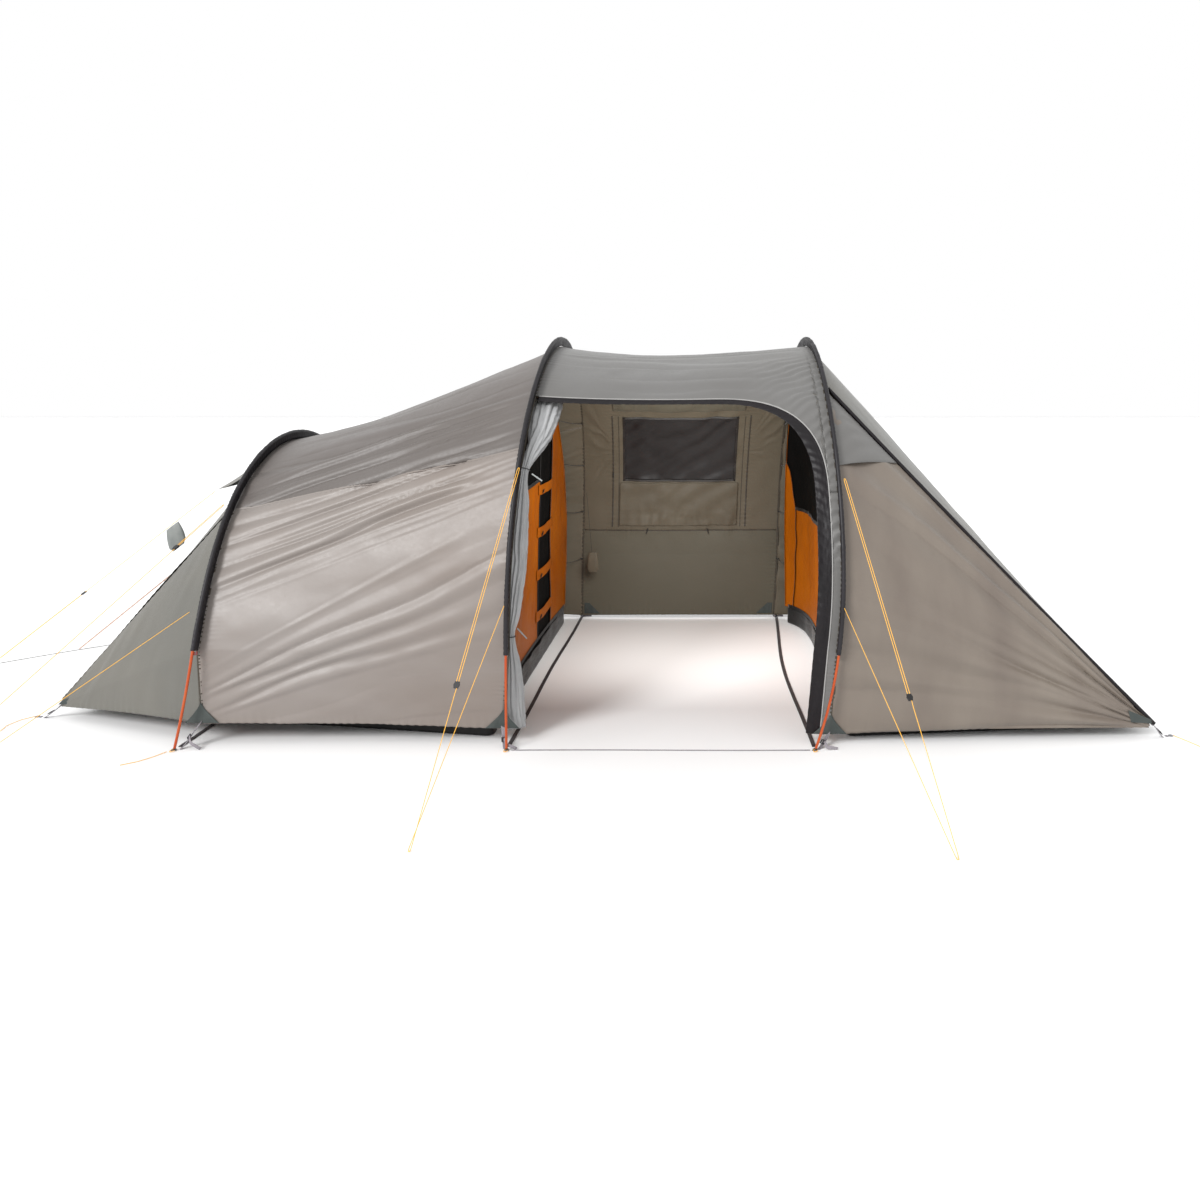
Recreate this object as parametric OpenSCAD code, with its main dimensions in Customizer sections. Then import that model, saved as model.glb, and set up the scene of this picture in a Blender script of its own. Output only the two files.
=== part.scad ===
// Three-hoop tunnel tent with a side entrance, a living area between the middle and
// right hoops, and a sleeping cabin at each end. Millimetres, +Z up, +X along the length,
// -Y is the entrance side. The origin is on the ground at the middle of the footprint.

/* [Hoops] */
// Outer diameter of the pole tube
pole_od = 13; // [10:0.5:16]
// Wall of the pole tube
pole_wall = 0.9; // [0.7:0.1:1.5]
// Half distance between the two feet of a hoop
foot_half = 1300; // [1200:10:1400]
// Radius of the two tall hoops
tall_radius = 1345; // [1340:1:1380]
// Height of the centre of the tall hoops' arc
tall_centre = 693; // [660:1:720]
// Radius of the low hoop
low_radius = 1305; // [1290:1:1308]
// Height of the centre of the low hoop's arc
low_centre = 160; // [140:1:180]
// Height at which the sleeves end and the bare poles begin
sleeve_end_z = 470; // [400:10:560]

/* [Fly sheet] */
// Thickness of a cloth panel
cloth = 1.5; // [1:0.1:3]
// Distance from the pole's centre in to the fly sheet
fly_drop = 48; // [30:1:60]
// Half width between the fly's two lower edges
hem_half = 1235; // [1200:5:1260]
// Sag of the ridge between two hoops
ridge_sag = 58; // [20:1:80]
// Sag of the walls between two hoops
wall_sag = 16; // [5:1:40]
// Gap left between neighbouring panels
seam_gap = 2; // [1:0.5:4]

/* [Ends] */
// X of the left end's ground corners
left_corner_x = -2800; // [-2900:10:-2700]
// Half width of the left end's lower edge
left_corner_half = 871; // [800:1:900]
// X of the right end's ground corners
right_corner_x = 2835; // [2700:5:2850]
// Half width of the right end's lower edge
right_corner_half = 1148; // [1100:1:1160]
// X of the outermost webbing at both ends
end_reach = 2950; // [2900:10:3000]

/* [Entrance] */
// Width of the storm flap along the top of the door
flap_top_w = 43; // [20:1:60]
// Width of the storm flap down the right of the door
flap_side_w = 70; // [40:1:90]

/* [Cabins] */
// X of the left cabin's front wall
left_front_x = -455; // [-480:5:-440]
// X of the right cabin's front wall
right_front_x = 1310; // [1300:5:1330]
// How far the right cabin's front comes forward at its far edge
front_flare = 145; // [0:5:150]
// Height at which the left cabin's solid cloth ends and its mesh begins
mesh_z = 1200; // [900:10:1300]
// Height at which the right cabin's mesh begins
right_mesh_z = 850; // [700:10:1300]
// Height of the waterproof tub's wall
tub_h = 120; // [80:5:160]

/* [Lines] */
// Diameter of the guy lines
line_d = 3; // [2:0.5:4]
// Width of the foot webbing
web_w = 25; // [15:1:30]
// Thickness of the foot webbing
web_t = 2; // [1.5:0.5:3]

/* [Hidden] */

pole_r = pole_od / 2;
pole_bore_r = pole_r - pole_wall;
tip_h = 26;
sections = [10, 12, 12];
// Hoops from left to right: near foot X, far foot X, radius, centre height, lean, bow
HOOPS = [
    [-1954, -1954, low_radius, low_centre, 5, 75],
    [-352, -352, tall_radius, tall_centre, 60, 0],
    [1135, 1112, tall_radius, tall_centre, 69, 122]
];
// X of the fly's lower edge at each hoop, near side and far side
hem_x = [[-1852, -1870], [-385, -345], [1212, 1090]];
// Height of the fly's lower edge at each hoop, near side and far side
hem_z = [[105, 90], [80, 22], [52, 25]];
bow_peak = pow(6 / 7, 6) / 7;
door_v = 0.343;
door_corner_v = 0.237;
door_u = 0.972;
door_curve_u = 0.6;
door_power = 2.5;
wall_v = 0.66;
seam_v = 0.869;
main_seam_v = 0.28;
u_scale = 1590;
v_scale = 5830;
left_seam_v = 0.29;
right_seam_v = 0.352;
eye_r = 12;
eye_bore_r = 4.2;
peg_bore_r = 5;
eye_z = web_t;
eye_t = 3;

// Vector helpers

function lerp(a, b, t) = a + (b - a) * t;
function unit(v) = v / max(norm(v), 1e-9);

// The hoops: an arc over two straight legs, leaning and bowed along X

function leg_angle(h) = atan2(h[3], foot_half) - acos(h[2] / norm([foot_half, h[3]]));
function leg_len(h) =
    norm([foot_half - h[2] * cos(leg_angle(h)), h[3] - h[2] * sin(leg_angle(h))]);
function arc_len(h) = h[2] * (180 + 2 * leg_angle(h)) * PI / 180;
function hoop_len(h) = arc_len(h) + 2 * leg_len(h);
function hoop_x(h, s) =
    lerp(h[0], h[1], s) + h[4] * pow(sin(180 * s), 2)
    + h[5] * s * pow(1 - s, 6) / bow_peak;
// Point on a hoop at the fraction s of its length, moved in by d from the pole's centre
function hoop_at(h, s, d = 0) =
    s > 0.5 ? let(p = hoop_at(h, 1 - s, d)) [hoop_x(h, s), -p[1], p[2]] :
    let(run = s * hoop_len(h), leg = leg_len(h), a = leg_angle(h))
    run < leg
        ? let(t = run / leg, c = [h[2] * cos(a), h[3] - h[2] * sin(a)])
          [hoop_x(h, s), -lerp(foot_half, c[0], t) + d * cos(a),
           lerp(0, c[1], t) + d * sin(a)]
        : let(b = (run - leg) / h[2] * 180 / PI - a)
          [hoop_x(h, s), -(h[2] - d) * cos(b), h[3] + (h[2] - d) * sin(b)];
// Fraction of a hoop's length at a height z on its near side
function hoop_s(h, z) =
    let(a = leg_angle(h), knee = h[3] - h[2] * sin(a))
    z < knee ? z / cos(a) / hoop_len(h)
             : (leg_len(h) + h[2] * (asin((z - h[3]) / h[2]) + a) * PI / 180) / hoop_len(h);

// The fly's section at a hoop: v runs from the near lower edge (0) to the far one (1)

function fly_at(i, v) =
    let(h = HOOPS[i], s0 = hoop_s(h, sleeve_end_z))
    v < 0.1
        ? lerp([hem_x[i][0], -hem_half, hem_z[i][0]], hoop_at(h, s0, fly_drop), v / 0.1)
        : v > 0.9
            ? lerp([hem_x[i][1], hem_half, hem_z[i][1]], hoop_at(h, 1 - s0, fly_drop),
                   (1 - v) / 0.1)
            : hoop_at(h, lerp(s0, 1 - s0, (v - 0.1) / 0.8), fly_drop);
function fly_side(i, v, y) = fly_at(i, y < 0 ? v : 1 - v);
function fly_z(i, z) =
    let(h = HOOPS[i], s0 = hoop_s(h, sleeve_end_z))
    0.1 + 0.8 * (hoop_s(h, z) - s0) / (1 - 2 * s0);
function sag_at(u, v) =
    sin(180 * pow(u, 0.8)) * (wall_sag + (ridge_sag - wall_sag) * pow(sin(180 * v), 12));
// Point on the fly between hoop i and the next one
function fly(i, u, v) =
    let(a = fly_at(i, v), b = fly_at(i + 1, v), p = lerp(a, b, u),
        axis = [p[0], 0, 500])
    p + unit(axis - p) * sag_at(u, v);

// Closed meshes, each one a list of points and a list of faces

function moved(faces, n) = [for (f = faces) [for (k = f) k + n]];
function join(meshes) =
    let(starts = [for (i = 0, n = 0; i < len(meshes); n = n + len(meshes[i][0]), i = i + 1) n])
    [[for (m = meshes) each m[0]],
     [for (i = [0:len(meshes) - 1]) each moved(meshes[i][1], starts[i])]];

// Bands of a sweep: rings of n points joined in order, closed by the first and last ring
function skin(rings) =
    let(n = len(rings[0]), m = len(rings))
    [[for (r = rings) each r],
     concat([[for (k = [n - 1:-1:0]) k]],
            [[for (k = [0:n - 1]) (m - 1) * n + k]],
            [for (i = [0:m - 2], k = [0:n - 1])
                let(a = i * n + k, b = i * n + (k + 1) % n)
                each [[a, b + n, a + n], [a, b, b + n]]])];
// Directions of a path at each of its points
function way(path, i) =
    unit(path[min(i + 1, len(path) - 1)] - path[max(i - 1, 0)]);
function across(d) = unit(abs(d[2]) < 0.9 ? cross(d, [0, 0, 1]) : cross(d, [0, 1, 0]));
// Side vectors carried along a path without twist
function carried(path) =
    [for (i = 0, a = across(way(path, 0)); i < len(path);
          i = i + 1,
          a = i < len(path) ? unit(a - way(path, i) * (a * way(path, i))) : a) a];
function tube(path, r, sides = 8) =
    let(side = carried(path))
    skin([for (i = [0:len(path) - 1])
        let(up = cross(way(path, i), side[i]))
        [for (k = [0:sides - 1])
            path[i] + r * (side[i] * cos(-360 * k / sides) + up * sin(-360 * k / sides))]]);
// Flat strap along a path: w is its width along wide, t its thickness
function strap(path, w, t, wide) =
    skin([for (i = [0:len(path) - 1])
        let(d = way(path, i), a = unit(wide - d * (wide * d)), b = cross(d, a))
        [path[i] + a * w / 2 + b * t / 2, path[i] + a * w / 2 - b * t / 2,
         path[i] - a * w / 2 - b * t / 2, path[i] - a * w / 2 + b * t / 2]]);

// Cloth of thickness t through a grid of points, with an optional hole of grid cells
function grid_normal(g, i, j) =
    let(m = len(g) - 1, n = len(g[0]) - 1,
        a = g[min(i + 1, m)][j] - g[max(i - 1, 0)][j],
        b = g[i][min(j + 1, n)] - g[i][max(j - 1, 0)])
    unit(cross(a, b));
function in_hole(i, j, hole) =
    i >= hole[0] && i < hole[1] && j >= hole[2] && j < hole[3];
function sheet(g, t = cloth, hole = [0, 0, 0, 0]) =
    let(m = len(g), n = len(g[0]), all = m * n,
        top = [for (i = [0:m - 1], j = [0:n - 1]) g[i][j] + grid_normal(g, i, j) * t / 2],
        low = [for (i = [0:m - 1], j = [0:n - 1]) g[i][j] - grid_normal(g, i, j) * t / 2],
        there = function(i, j)
            i >= 0 && j >= 0 && i < m - 1 && j < n - 1 && !in_hole(i, j, hole),
        cells = [for (i = [0:m - 2], j = [0:n - 2]) if (there(i, j)) [i, j]])
    [concat(top, low),
     [for (c = cells)
        let(i = c[0], j = c[1], a = i * n + j, b = a + n, d = a + 1, e = b + 1)
        each concat(
            [[a, e, b], [a, d, e], [a + all, b + all, e + all], [a + all, e + all, d + all]],
            there(i - 1, j) ? [] : [[a, a + all, d + all], [a, d + all, d]],
            there(i + 1, j) ? [] : [[b, e, e + all], [b, e + all, b + all]],
            there(i, j - 1) ? [] : [[a, b, b + all], [a, b + all, a + all]],
            there(i, j + 1) ? [] : [[d, e + all, e], [d, d + all, e + all]])]];
module solid(mesh) polyhedron(points = mesh[0], faces = mesh[1]);

function steps(n, a = 0, b = 1) = [for (k = [0:n]) lerp(a, b, k / n)];

// Exact pieces of round tube along the hoops

// Tube along the arc through three points, or straight where they are nearly in line
module arc_tube(p, r, bore_r) {
    ab = p[1] - p[0];
    ac = p[2] - p[0];
    n = cross(ab, ac);
    to_centre = (cross(n, ab) * (ac * ac) + cross(ac, n) * (ab * ab)) / (2 * (n * n));
    radius = norm(to_centre);
    x = unit(-to_centre);
    z = unit(n);
    y = cross(z, x);
    c = p[0] + to_centre;
    sweep = 2 * asin(norm(ac) / 2 / radius);
    multmatrix([[x[0], y[0], z[0], c[0]], [x[1], y[1], z[1], c[1]],
                [x[2], y[2], z[2], c[2]], [0, 0, 0, 1]])
        rotate_extrude(angle = sweep, $fn = 720) translate([radius, 0]) difference() {
            circle(r, $fn = 32);
            if (bore_r > 0) circle(bore_r, $fn = 32);
        }
}
// The fractions of a hoop at which its pole's sections meet, clear of the ground tips;
// a long straight leg is one section
function pole_s(h, k, n) =
    let(s0 = (eye_z + eye_t + 6) / hoop_len(h), leg = leg_len(h) / hoop_len(h))
    leg < 0.05 ? lerp(s0, 1 - s0, k / n) :
    k == 0 ? s0 : k == n ? 1 - s0 : lerp(leg, 1 - leg, (k - 1) / (n - 2));
module hoop_pole(i) {
    h = HOOPS[i];
    n = sections[i];
    gap = 0.4 / hoop_len(h);
    for (k = [0:n - 1]) {
        a = pole_s(h, k, n) + (k > 0 ? gap : 0);
        b = pole_s(h, k + 1, n);
        arc_tube([hoop_at(h, a), hoop_at(h, (a + b) / 2), hoop_at(h, b)], pole_r, pole_bore_r);
    }
}
module on_line(from, to) {
    d = unit(to - from);
    x = across(d);
    y = cross(d, x);
    multmatrix([[x[0], y[0], d[0], from[0]], [x[1], y[1], d[1], from[1]],
                [x[2], y[2], d[2], from[2]], [0, 0, 0, 1]]) children();
}

module pole_left() color([0.93, 0.37, 0.12]) hoop_pole(0);
module pole_middle() color([0.93, 0.37, 0.12]) hoop_pole(1);
module pole_right() color([0.93, 0.37, 0.12]) hoop_pole(2);

ferrule_half = 35;
module pole_ferrules() color([0.75, 0.75, 0.77])
    for (i = [0:2], k = [1:sections[i] - 1]) {
        h = HOOPS[i];
        s = pole_s(h, k, sections[i]);
        e = ferrule_half / hoop_len(h);
        arc_tube([hoop_at(h, s - e), hoop_at(h, s), hoop_at(h, s + e)], pole_bore_r - 0.9, 2.8);
    }
module shock_cords() color([0.15, 0.15, 0.16])
    for (i = [0:2], k = [0:sections[i] - 1]) {
        h = HOOPS[i];
        n = sections[i];
        a = pole_s(h, k, n) + (k == 0 ? 22 : 1) / hoop_len(h);
        b = pole_s(h, k + 1, n) - (k == n - 1 ? 22 : 0) / hoop_len(h);
        arc_tube([hoop_at(h, a), hoop_at(h, (a + b) / 2), hoop_at(h, b)], 1.5, 0);
    }
// Turned tips: a collar under the pole, a spigot inside it and a pin through the eyelet
module pole_tips() color([0.25, 0.25, 0.27])
    for (i = [0:2], s = [0, 1]) {
        h = HOOPS[i];
        from = hoop_at(h, s);
        to = hoop_at(h, abs(s - 40 / hoop_len(h)));
        on_line(from, to) {
            translate([0, 0, 3.6]) cylinder(h = 5, r = 2.1, $fn = 32);
            translate([0, 0, 8.2]) cylinder(h = 2.4, r = pole_r, $fn = 32);
            translate([0, 0, 10]) cylinder(h = 16, r = pole_bore_r - 0.9, $fn = 32);
        }
    }
module eyelet(bore_r) difference() {
    cylinder(h = eye_t, r = eye_r, $fn = 48);
    translate([0, 0, -1]) cylinder(h = eye_t + 2, r = bore_r, $fn = 48);
}
module foot_eyelets() color([0.72, 0.72, 0.74])
    for (i = [0:2], s = [0, 1])
        translate([hoop_at(HOOPS[i], s)[0], hoop_at(HOOPS[i], s)[1], eye_z + 0.2])
            eyelet(eye_bore_r);
// Rings at the outermost webbing, each for a ground peg
module peg_eyelets() color([0.72, 0.72, 0.74])
    for (x = [-1, 1], y = [-1, 1])
        translate([x * (end_reach - eye_r - 0.5),
                   0.97 * y * (x < 0 ? left_corner_half : right_corner_half), 0.2])
            eyelet(peg_bore_r);

// Sleeves: a hollow fin of cloth around the pole, its base on the fly

sleeve_rings = 46;
sleeve_r = 10.5;
sleeve_bore = 9.2;
function sleeve_ring(h, s, r, base) =
    let(c = hoop_at(h, s), d = unit(hoop_at(h, s + 0.002) - hoop_at(h, s - 0.002)),
        inn = unit(hoop_at(h, s, 10) - c), side = unit(cross(d, inn)))
    base > 0
        ? concat([for (a = [-115:46:115]) c + r * (side * sin(a) - inn * cos(a))],
                 [c + inn * base + side * 2.2, c + inn * base - side * 2.2])
        : [for (k = [0:7]) c + r * (side * sin(45 * k) - inn * cos(45 * k))];
// A tube between an outer and an inner skin, open at both ends
function hollow(outer, inner) =
    let(m = len(outer), n = len(outer[0]), q = len(inner[0]), base = m * n,
        band = function(n, at, i, k) let(a = at + i * n + k, b = at + i * n + (k + 1) % n)
            [a, b, a + n, b + n],
        end = function(i, turn) let(o = i * n, w = base + i * q)
            [for (k = [0:n - 1])
                let(a = o + k, b = o + (k + 1) % n,
                    c = w + floor(k * q / n), d = w + floor((k + 1) * q / n) % q)
                each c == d ? [turn ? [a, c, b] : [a, b, c]]
                            : turn ? [[a, c, b], [b, c, d]] : [[a, b, c], [b, d, c]]])
    [concat([for (r = outer) each r], [for (r = inner) each r]),
     concat([for (i = [0:m - 2], k = [0:n - 1]) let(f = band(n, 0, i, k))
                each [[f[0], f[3], f[2]], [f[0], f[1], f[3]]]],
            [for (i = [0:m - 2], k = [0:q - 1]) let(f = band(q, base, i, k))
                each [[f[0], f[2], f[3]], [f[0], f[3], f[1]]]],
            end(0, true), end(m - 1, false))];
module sleeve(i) {
    h = HOOPS[i];
    s0 = hoop_s(h, sleeve_end_z);
    s = steps(sleeve_rings, s0, 1 - s0);
    solid(hollow([for (t = s) sleeve_ring(h, t, sleeve_r, fly_drop - cloth - 1)],
                 [for (t = s) sleeve_ring(h, t, sleeve_bore, 0)]));
}
module sleeve_left() color([0.13, 0.12, 0.14]) sleeve(0);
module sleeve_middle() color([0.13, 0.12, 0.14]) sleeve(1);
module sleeve_right() color([0.13, 0.12, 0.14]) sleeve(2);

// Red webbing that draws each sleeve's end in to the fly
module sleeve_straps() color([0.9, 0.2, 0.22])
    solid(join([for (i = [0:2], far = [false, true])
        let(h = HOOPS[i], s0 = hoop_s(h, sleeve_end_z - 12), s = far ? 1 - s0 : s0,
            a = hoop_at(h, s, pole_r + 1), b = hoop_at(h, s, fly_drop - cloth - 1))
        strap([a, b], 14, 1.5, [0, 0, 1])]));

// Feet: webbing from the fly's corner down to the eyelet under the pole tip

function foot(i, far) = let(p = hoop_at(HOOPS[i], far ? 1 : 0)) [p[0], p[1], web_t / 2];
function corner(i, far) = fly_at(i, far ? 1 : 0);
function foot_side(far) = far ? 1 : -1;
// Level direction from the fly's corner out to the foot
function foot_way(i, far) =
    let(d = foot(i, far) - corner(i, far)) unit([d[0], d[1], 0]);
function foot_top(i, far) = corner(i, far) + foot_way(i, far) * 16 + [0, 0, -4];
function foot_low(i, far) = foot(i, far) - foot_way(i, far) * 30;
function foot_path(i, far) =
    [foot_top(i, far), foot_low(i, far), foot(i, far) + foot_way(i, far) * 14];
function end_corner(x, half, y) = [x, half * y, 60];
function end_top(x, half, y) = end_corner(x, half, y) + [sign(x) * 12, 0, -6];
function end_low(x, half, y) = [sign(x) * (end_reach - 60), half * y * 0.98, web_t / 2];
function end_path(x, half, y) =
    [end_top(x, half, y), end_low(x, half, y),
     [sign(x) * (end_reach - 27), half * y * 0.97, web_t / 2]];
module foot_straps() color([0.63, 0.6, 0.64])
    solid(join(concat(
        [for (i = [0:2], far = [false, true])
            strap(foot_path(i, far), web_w * 0.7, web_t, cross(foot_way(i, far), [0, 0, 1]))],
        [for (y = [-1, 1]) strap(end_path(left_corner_x, left_corner_half, y), web_w * 0.8, web_t,
                                 [0, 1, 0])],
        [for (y = [-1, 1]) strap(end_path(right_corner_x, right_corner_half, y), web_w * 0.8, web_t,
                                 [0, 1, 0])])));
// Ladder-lock buckle: a frame with three bars, flat on the webbing from a to b
module ladder_lock(a, b, wide) {
    d = unit(b - a);
    x = unit(wide - d * (wide * d));
    y = cross(d, x);
    up = y[2] < 0 ? -y : y;
    m = lerp(a, b, 0.5) + up * (web_t / 2 + 3.2);
    multmatrix([[x[0], up[0], d[0], m[0]], [x[1], up[1], d[1], m[1]],
                [x[2], up[2], d[2], m[2]], [0, 0, 0, 1]]) difference() {
        translate([-14, -2.2, -11]) cube([28, 4.4, 22]);
        for (z = [-8.5, -2, 4.5]) translate([-10, -4, z]) cube([20, 8, 4]);
    }
}
module buckles() color([0.08, 0.08, 0.09]) {
    for (i = [0:2], far = [false, true])
        ladder_lock(foot_top(i, far), foot_low(i, far), cross(foot_way(i, far), [0, 0, 1]));
    for (x = [left_corner_x, right_corner_x], y = [-1, 1])
        let(half = x < 0 ? left_corner_half : right_corner_half)
        ladder_lock(end_top(x, half, y), end_low(x, half, y), [0, 1, 0]);
}
// Webbing on the ground from foot to foot under each hoop, and the threshold line
module cross_straps() color([0.22, 0.19, 0.2])
    solid(join(concat(
        [for (i = [1, 2])
            let(a = foot(i, false) + [0, 40, 0.6], b = foot(i, true) + [0, -40, 0.6], slack = i == 2 ? 45 : 0)
            strap([for (t = steps(8)) lerp(a, b, t) + [-slack * sin(180 * t), 0, 0]],
                  20, web_t, [1, 0, 0])],
        [for (far = [false, true])
            let(a = foot(0, far), y = foot_side(far))
            strap([[a[0] + 8, a[1] - 40 * y, 1.6], [a[0] + 8, 905 * y, 1.6]], 20, web_t, [1, 0, 0])],
        [tube([for (t = steps(2))
            lerp(foot(1, false) + [24, -4, 2], foot(2, false) + [-24, -4, 2], t)], 2)])));
// Reinforcement at each corner of the fly's lower edge
patch_h = 95;
function patch(i, far) =
    let(c = corner(i, far), y = foot_side(far), up = fly_at(i, far ? 0.93 : 0.07))
    let(g = [for (w = steps(3)) [for (t = [-1, 0, 1])
        lerp(c, up, w * patch_h / norm(up - c)) + [t * lerp(80, 3, w), y * 2.2, 4]]])
    sheet(g, 1);
module corner_patches() color([0.33, 0.36, 0.35])
    solid(join([for (i = [0:2], far = [false, true]) patch(i, far)]));

// Fly panels between the hoops

function grid(i, us, vs) = [for (v = vs) [for (u = us) fly(i, u, v)]];
edge_u = 0.004;
edge_v = 0.0007;
module main_near_panel() color([0.68, 0.65, 0.62])
    solid(sheet(grid(0, steps(8, edge_u, 1 - edge_u), steps(10, 0, main_seam_v - edge_v))));
module main_roof() color([0.66, 0.63, 0.6])
    solid(sheet(grid(0, steps(8, edge_u, 1 - edge_u),
                     steps(12, main_seam_v + edge_v, 1 - main_seam_v - edge_v))));
module main_far_panel() color([0.62, 0.6, 0.57])
    solid(sheet(grid(0, steps(8, edge_u, 1 - edge_u), steps(10, 1 - main_seam_v + edge_v, 1))));

// Edge of the door at the fraction u between the middle and right hoops
function door_edge(u, top = door_v, side = door_u) =
    u <= door_curve_u ? top :
    u >= side ? door_corner_v :
    let(t = (u - door_curve_u) / (side - door_curve_u))
    lerp(door_corner_v, top, pow(1 - pow(t, door_power), 1 / door_power));
roof_u = concat(steps(5, edge_u, door_curve_u),
                [0.72, 0.8, 0.86, 0.9, 0.93, 0.948, 0.96, 0.967, 0.9705, door_u],
                [1 - edge_u]);
module centre_roof() color([0.63, 0.62, 0.6])
    solid(join([
        sheet([for (w = steps(9)) [for (u = roof_u)
            fly(1, u, lerp(door_edge(u), wall_v - edge_v, w))]]),
        sheet(grid(1, [door_u + 0.0005, 1 - edge_u], steps(6, 0, door_corner_v - edge_v)))]));
// Points of the door's edge: along the top, round the corner and down to the ground
function door_line(top, side) = concat(
    [for (u = steps(3, 0.012, door_curve_u)) [u, top]],
    [for (a = [12:12:90]) [door_curve_u + (side - door_curve_u) * pow(sin(a), 2 / door_power),
                           door_corner_v + (top - door_corner_v) * pow(cos(a), 2 / door_power)]],
    [for (v = steps(5, door_corner_v, 0)) if (v < door_corner_v) [side, v]]);
flap_gap = 5;
module storm_flap() color([0.2, 0.17, 0.2]) {
    outer = door_line(door_v - flap_gap / v_scale, door_u - flap_gap / u_scale);
    inner = door_line(door_v - flap_top_w / v_scale, door_u - flap_side_w / u_scale);
    solid(sheet([for (w = [0, 1]) [for (k = [0:len(outer) - 1])
        let(q = lerp(outer[k], inner[k], w)) fly(1, q[0], q[1])]]));
}

// Far wall with the window's cut-out, its pane, the folded curtain and the lower wall

win_u = [0.205, 0.767];
win_v = [0.702, 0.80];
wall_vs = [wall_v + edge_v, 0.681, win_v[0], 0.7265, 0.751, 0.7755, win_v[1], 0.82, 0.84, 0.855,
           seam_v - edge_v];
wall_us = concat([edge_u, 0.1], steps(4, win_u[0], win_u[1]), [0.88, 1 - edge_u]);
module far_wall() color([0.45, 0.42, 0.36])
    solid(sheet(grid(1, wall_us, wall_vs),
                cloth, [2, 6, 2, 6]));
module far_wall_lower() color([0.45, 0.42, 0.37])
    solid(sheet(grid(1, steps(7, edge_u, 1 - edge_u), [seam_v + edge_v, 0.9, 0.95, 1])));
module window_pane() color([0.3, 0.29, 0.31])
    solid(sheet(grid(1, steps(4, win_u[0] + 0.001, win_u[1] - 0.001),
                     steps(2, win_v[0] + 0.0004, win_v[1] - 0.0004)), 1));
function inward(g, d) = [for (r = g) [for (p = r) p + unit([p[0], 0, 500] - p) * d]];
module curtain() color([0.5, 0.47, 0.4])
    solid(sheet(inward(grid(1, steps(5, win_u[0] - 0.02, win_u[1] + 0.02),
                            [win_v[1] + 0.003, 0.83, 0.862]), 9), 8));
module wall_zips() color([0.24, 0.22, 0.2])
    solid(join([for (u = [0.15, 0.83])
        sheet(inward(grid(1, [u - 0.004, u + 0.004], [for (k = [2:9]) wall_vs[k]]), 5.5), 3)]));
slider_v = 0.79;
module zip_slider() color([0.1, 0.1, 0.11]) {
    p = fly(1, 0.15, slider_v);
    n = unit([p[0], 0, 500] - p);
    up = unit(fly(1, 0.15, slider_v - 0.01) - p);
    on_line(p + n * 13, p + n * 13 + up) {
        translate([-5, -2.5, -8]) cube([10, 5, 16]);
        translate([-2, -1, -34]) cube([4, 2, 26.5]);
    }
}

// The door cloth, rolled up and tied back along the middle hoop
roll_path = [[-250, -684, 1738], [-272, -842, 1618], [-286, -1004, 1474], [-326, -1140, 1335],
             [-334, -1190, 1150], [-346, -1215, 900], [-362, -1230, 640], [-376, -1222, 520],
             [-370, -1212, 330], [-366, -1200, 60]];
roll_size = [[56, 30], [76, 38], [54, 30], [22, 15], [38, 25], [46, 28], [30, 20], [17, 14],
             [42, 24], [56, 20]];
function roll_ring(i) =
    let(d = way(roll_path, i), a = unit([1, 0.35, 0] - d * ([1, 0.35, 0] * d)), b = cross(d, a))
    [for (k = [0:9]) roll_path[i] + [26, 30, 0] + a * roll_size[i][0] * cos(-36 * k)
                     + b * roll_size[i][1] * sin(-36 * k)];
module rolled_door() color([0.67, 0.67, 0.66])
    solid(skin([for (i = [0:len(roll_path) - 1]) roll_ring(i)]));
// Bar toggles: p is the toggle's waist and d its direction
module toggle(p, d, len) on_line(p, p + d) {
    translate([0, 0, -len / 2]) cylinder(h = len, r = 3.5, $fn = 24);
    sphere(r = 4.6, $fn = 24);
}
toggle_up = [-232, -1155, 1300];
toggle_low = [-298, -1195, 535];
module door_toggle_upper() color([0.75, 0.76, 0.76]) toggle(toggle_up, [0.8, 0, -0.55], 62);
module door_toggle_lower() color([0.5, 0.55, 0.55]) toggle(toggle_low, [0.7, 0, -0.75], 70);
curtain_toggle_at = [fly(1, 0.33, 0.869), fly(1, 0.64, 0.869)];
module curtain_toggle_left() color([0.12, 0.12, 0.12])
    toggle(curtain_toggle_at[0] + [0, -26, 0], [0.3, 0, 1], 42);
module curtain_toggle_right() color([0.12, 0.12, 0.12])
    toggle(curtain_toggle_at[1] + [0, -26, 0], [-0.3, 0, 1], 42);

// Left end: two side panels that taper to the ground corners, the end panel and the hood

function left_corner(y) = [left_corner_x, left_corner_half * y, 70];
function seam_in(p) = p + [-cloth - seam_gap, 0, 0];
// Side panel: w runs along the hoop's edge from its seam to the hem, u out to the corner
function side_grid(i, v_top, tip, n, out, y) =
    [for (w = steps(n)) [for (u = steps(6, 0, 0.985))
        let(a = fly_side(i, lerp(v_top, 0, w), y) + [out * (cloth + seam_gap), 0, 0],
            b = tip + [0, 0, lerp(20, -6, w)], q = lerp(a, b, u))
        q + [0, -y * 14 * sin(180 * u) * sin(180 * w), 9 * sin(180 * u) * w]]];
module left_side_panels() color([0.55, 0.54, 0.51])
    solid(join([for (y = [-1, 1]) sheet(side_grid(0, left_seam_v, left_corner(y), 6, -1, y))]));
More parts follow.
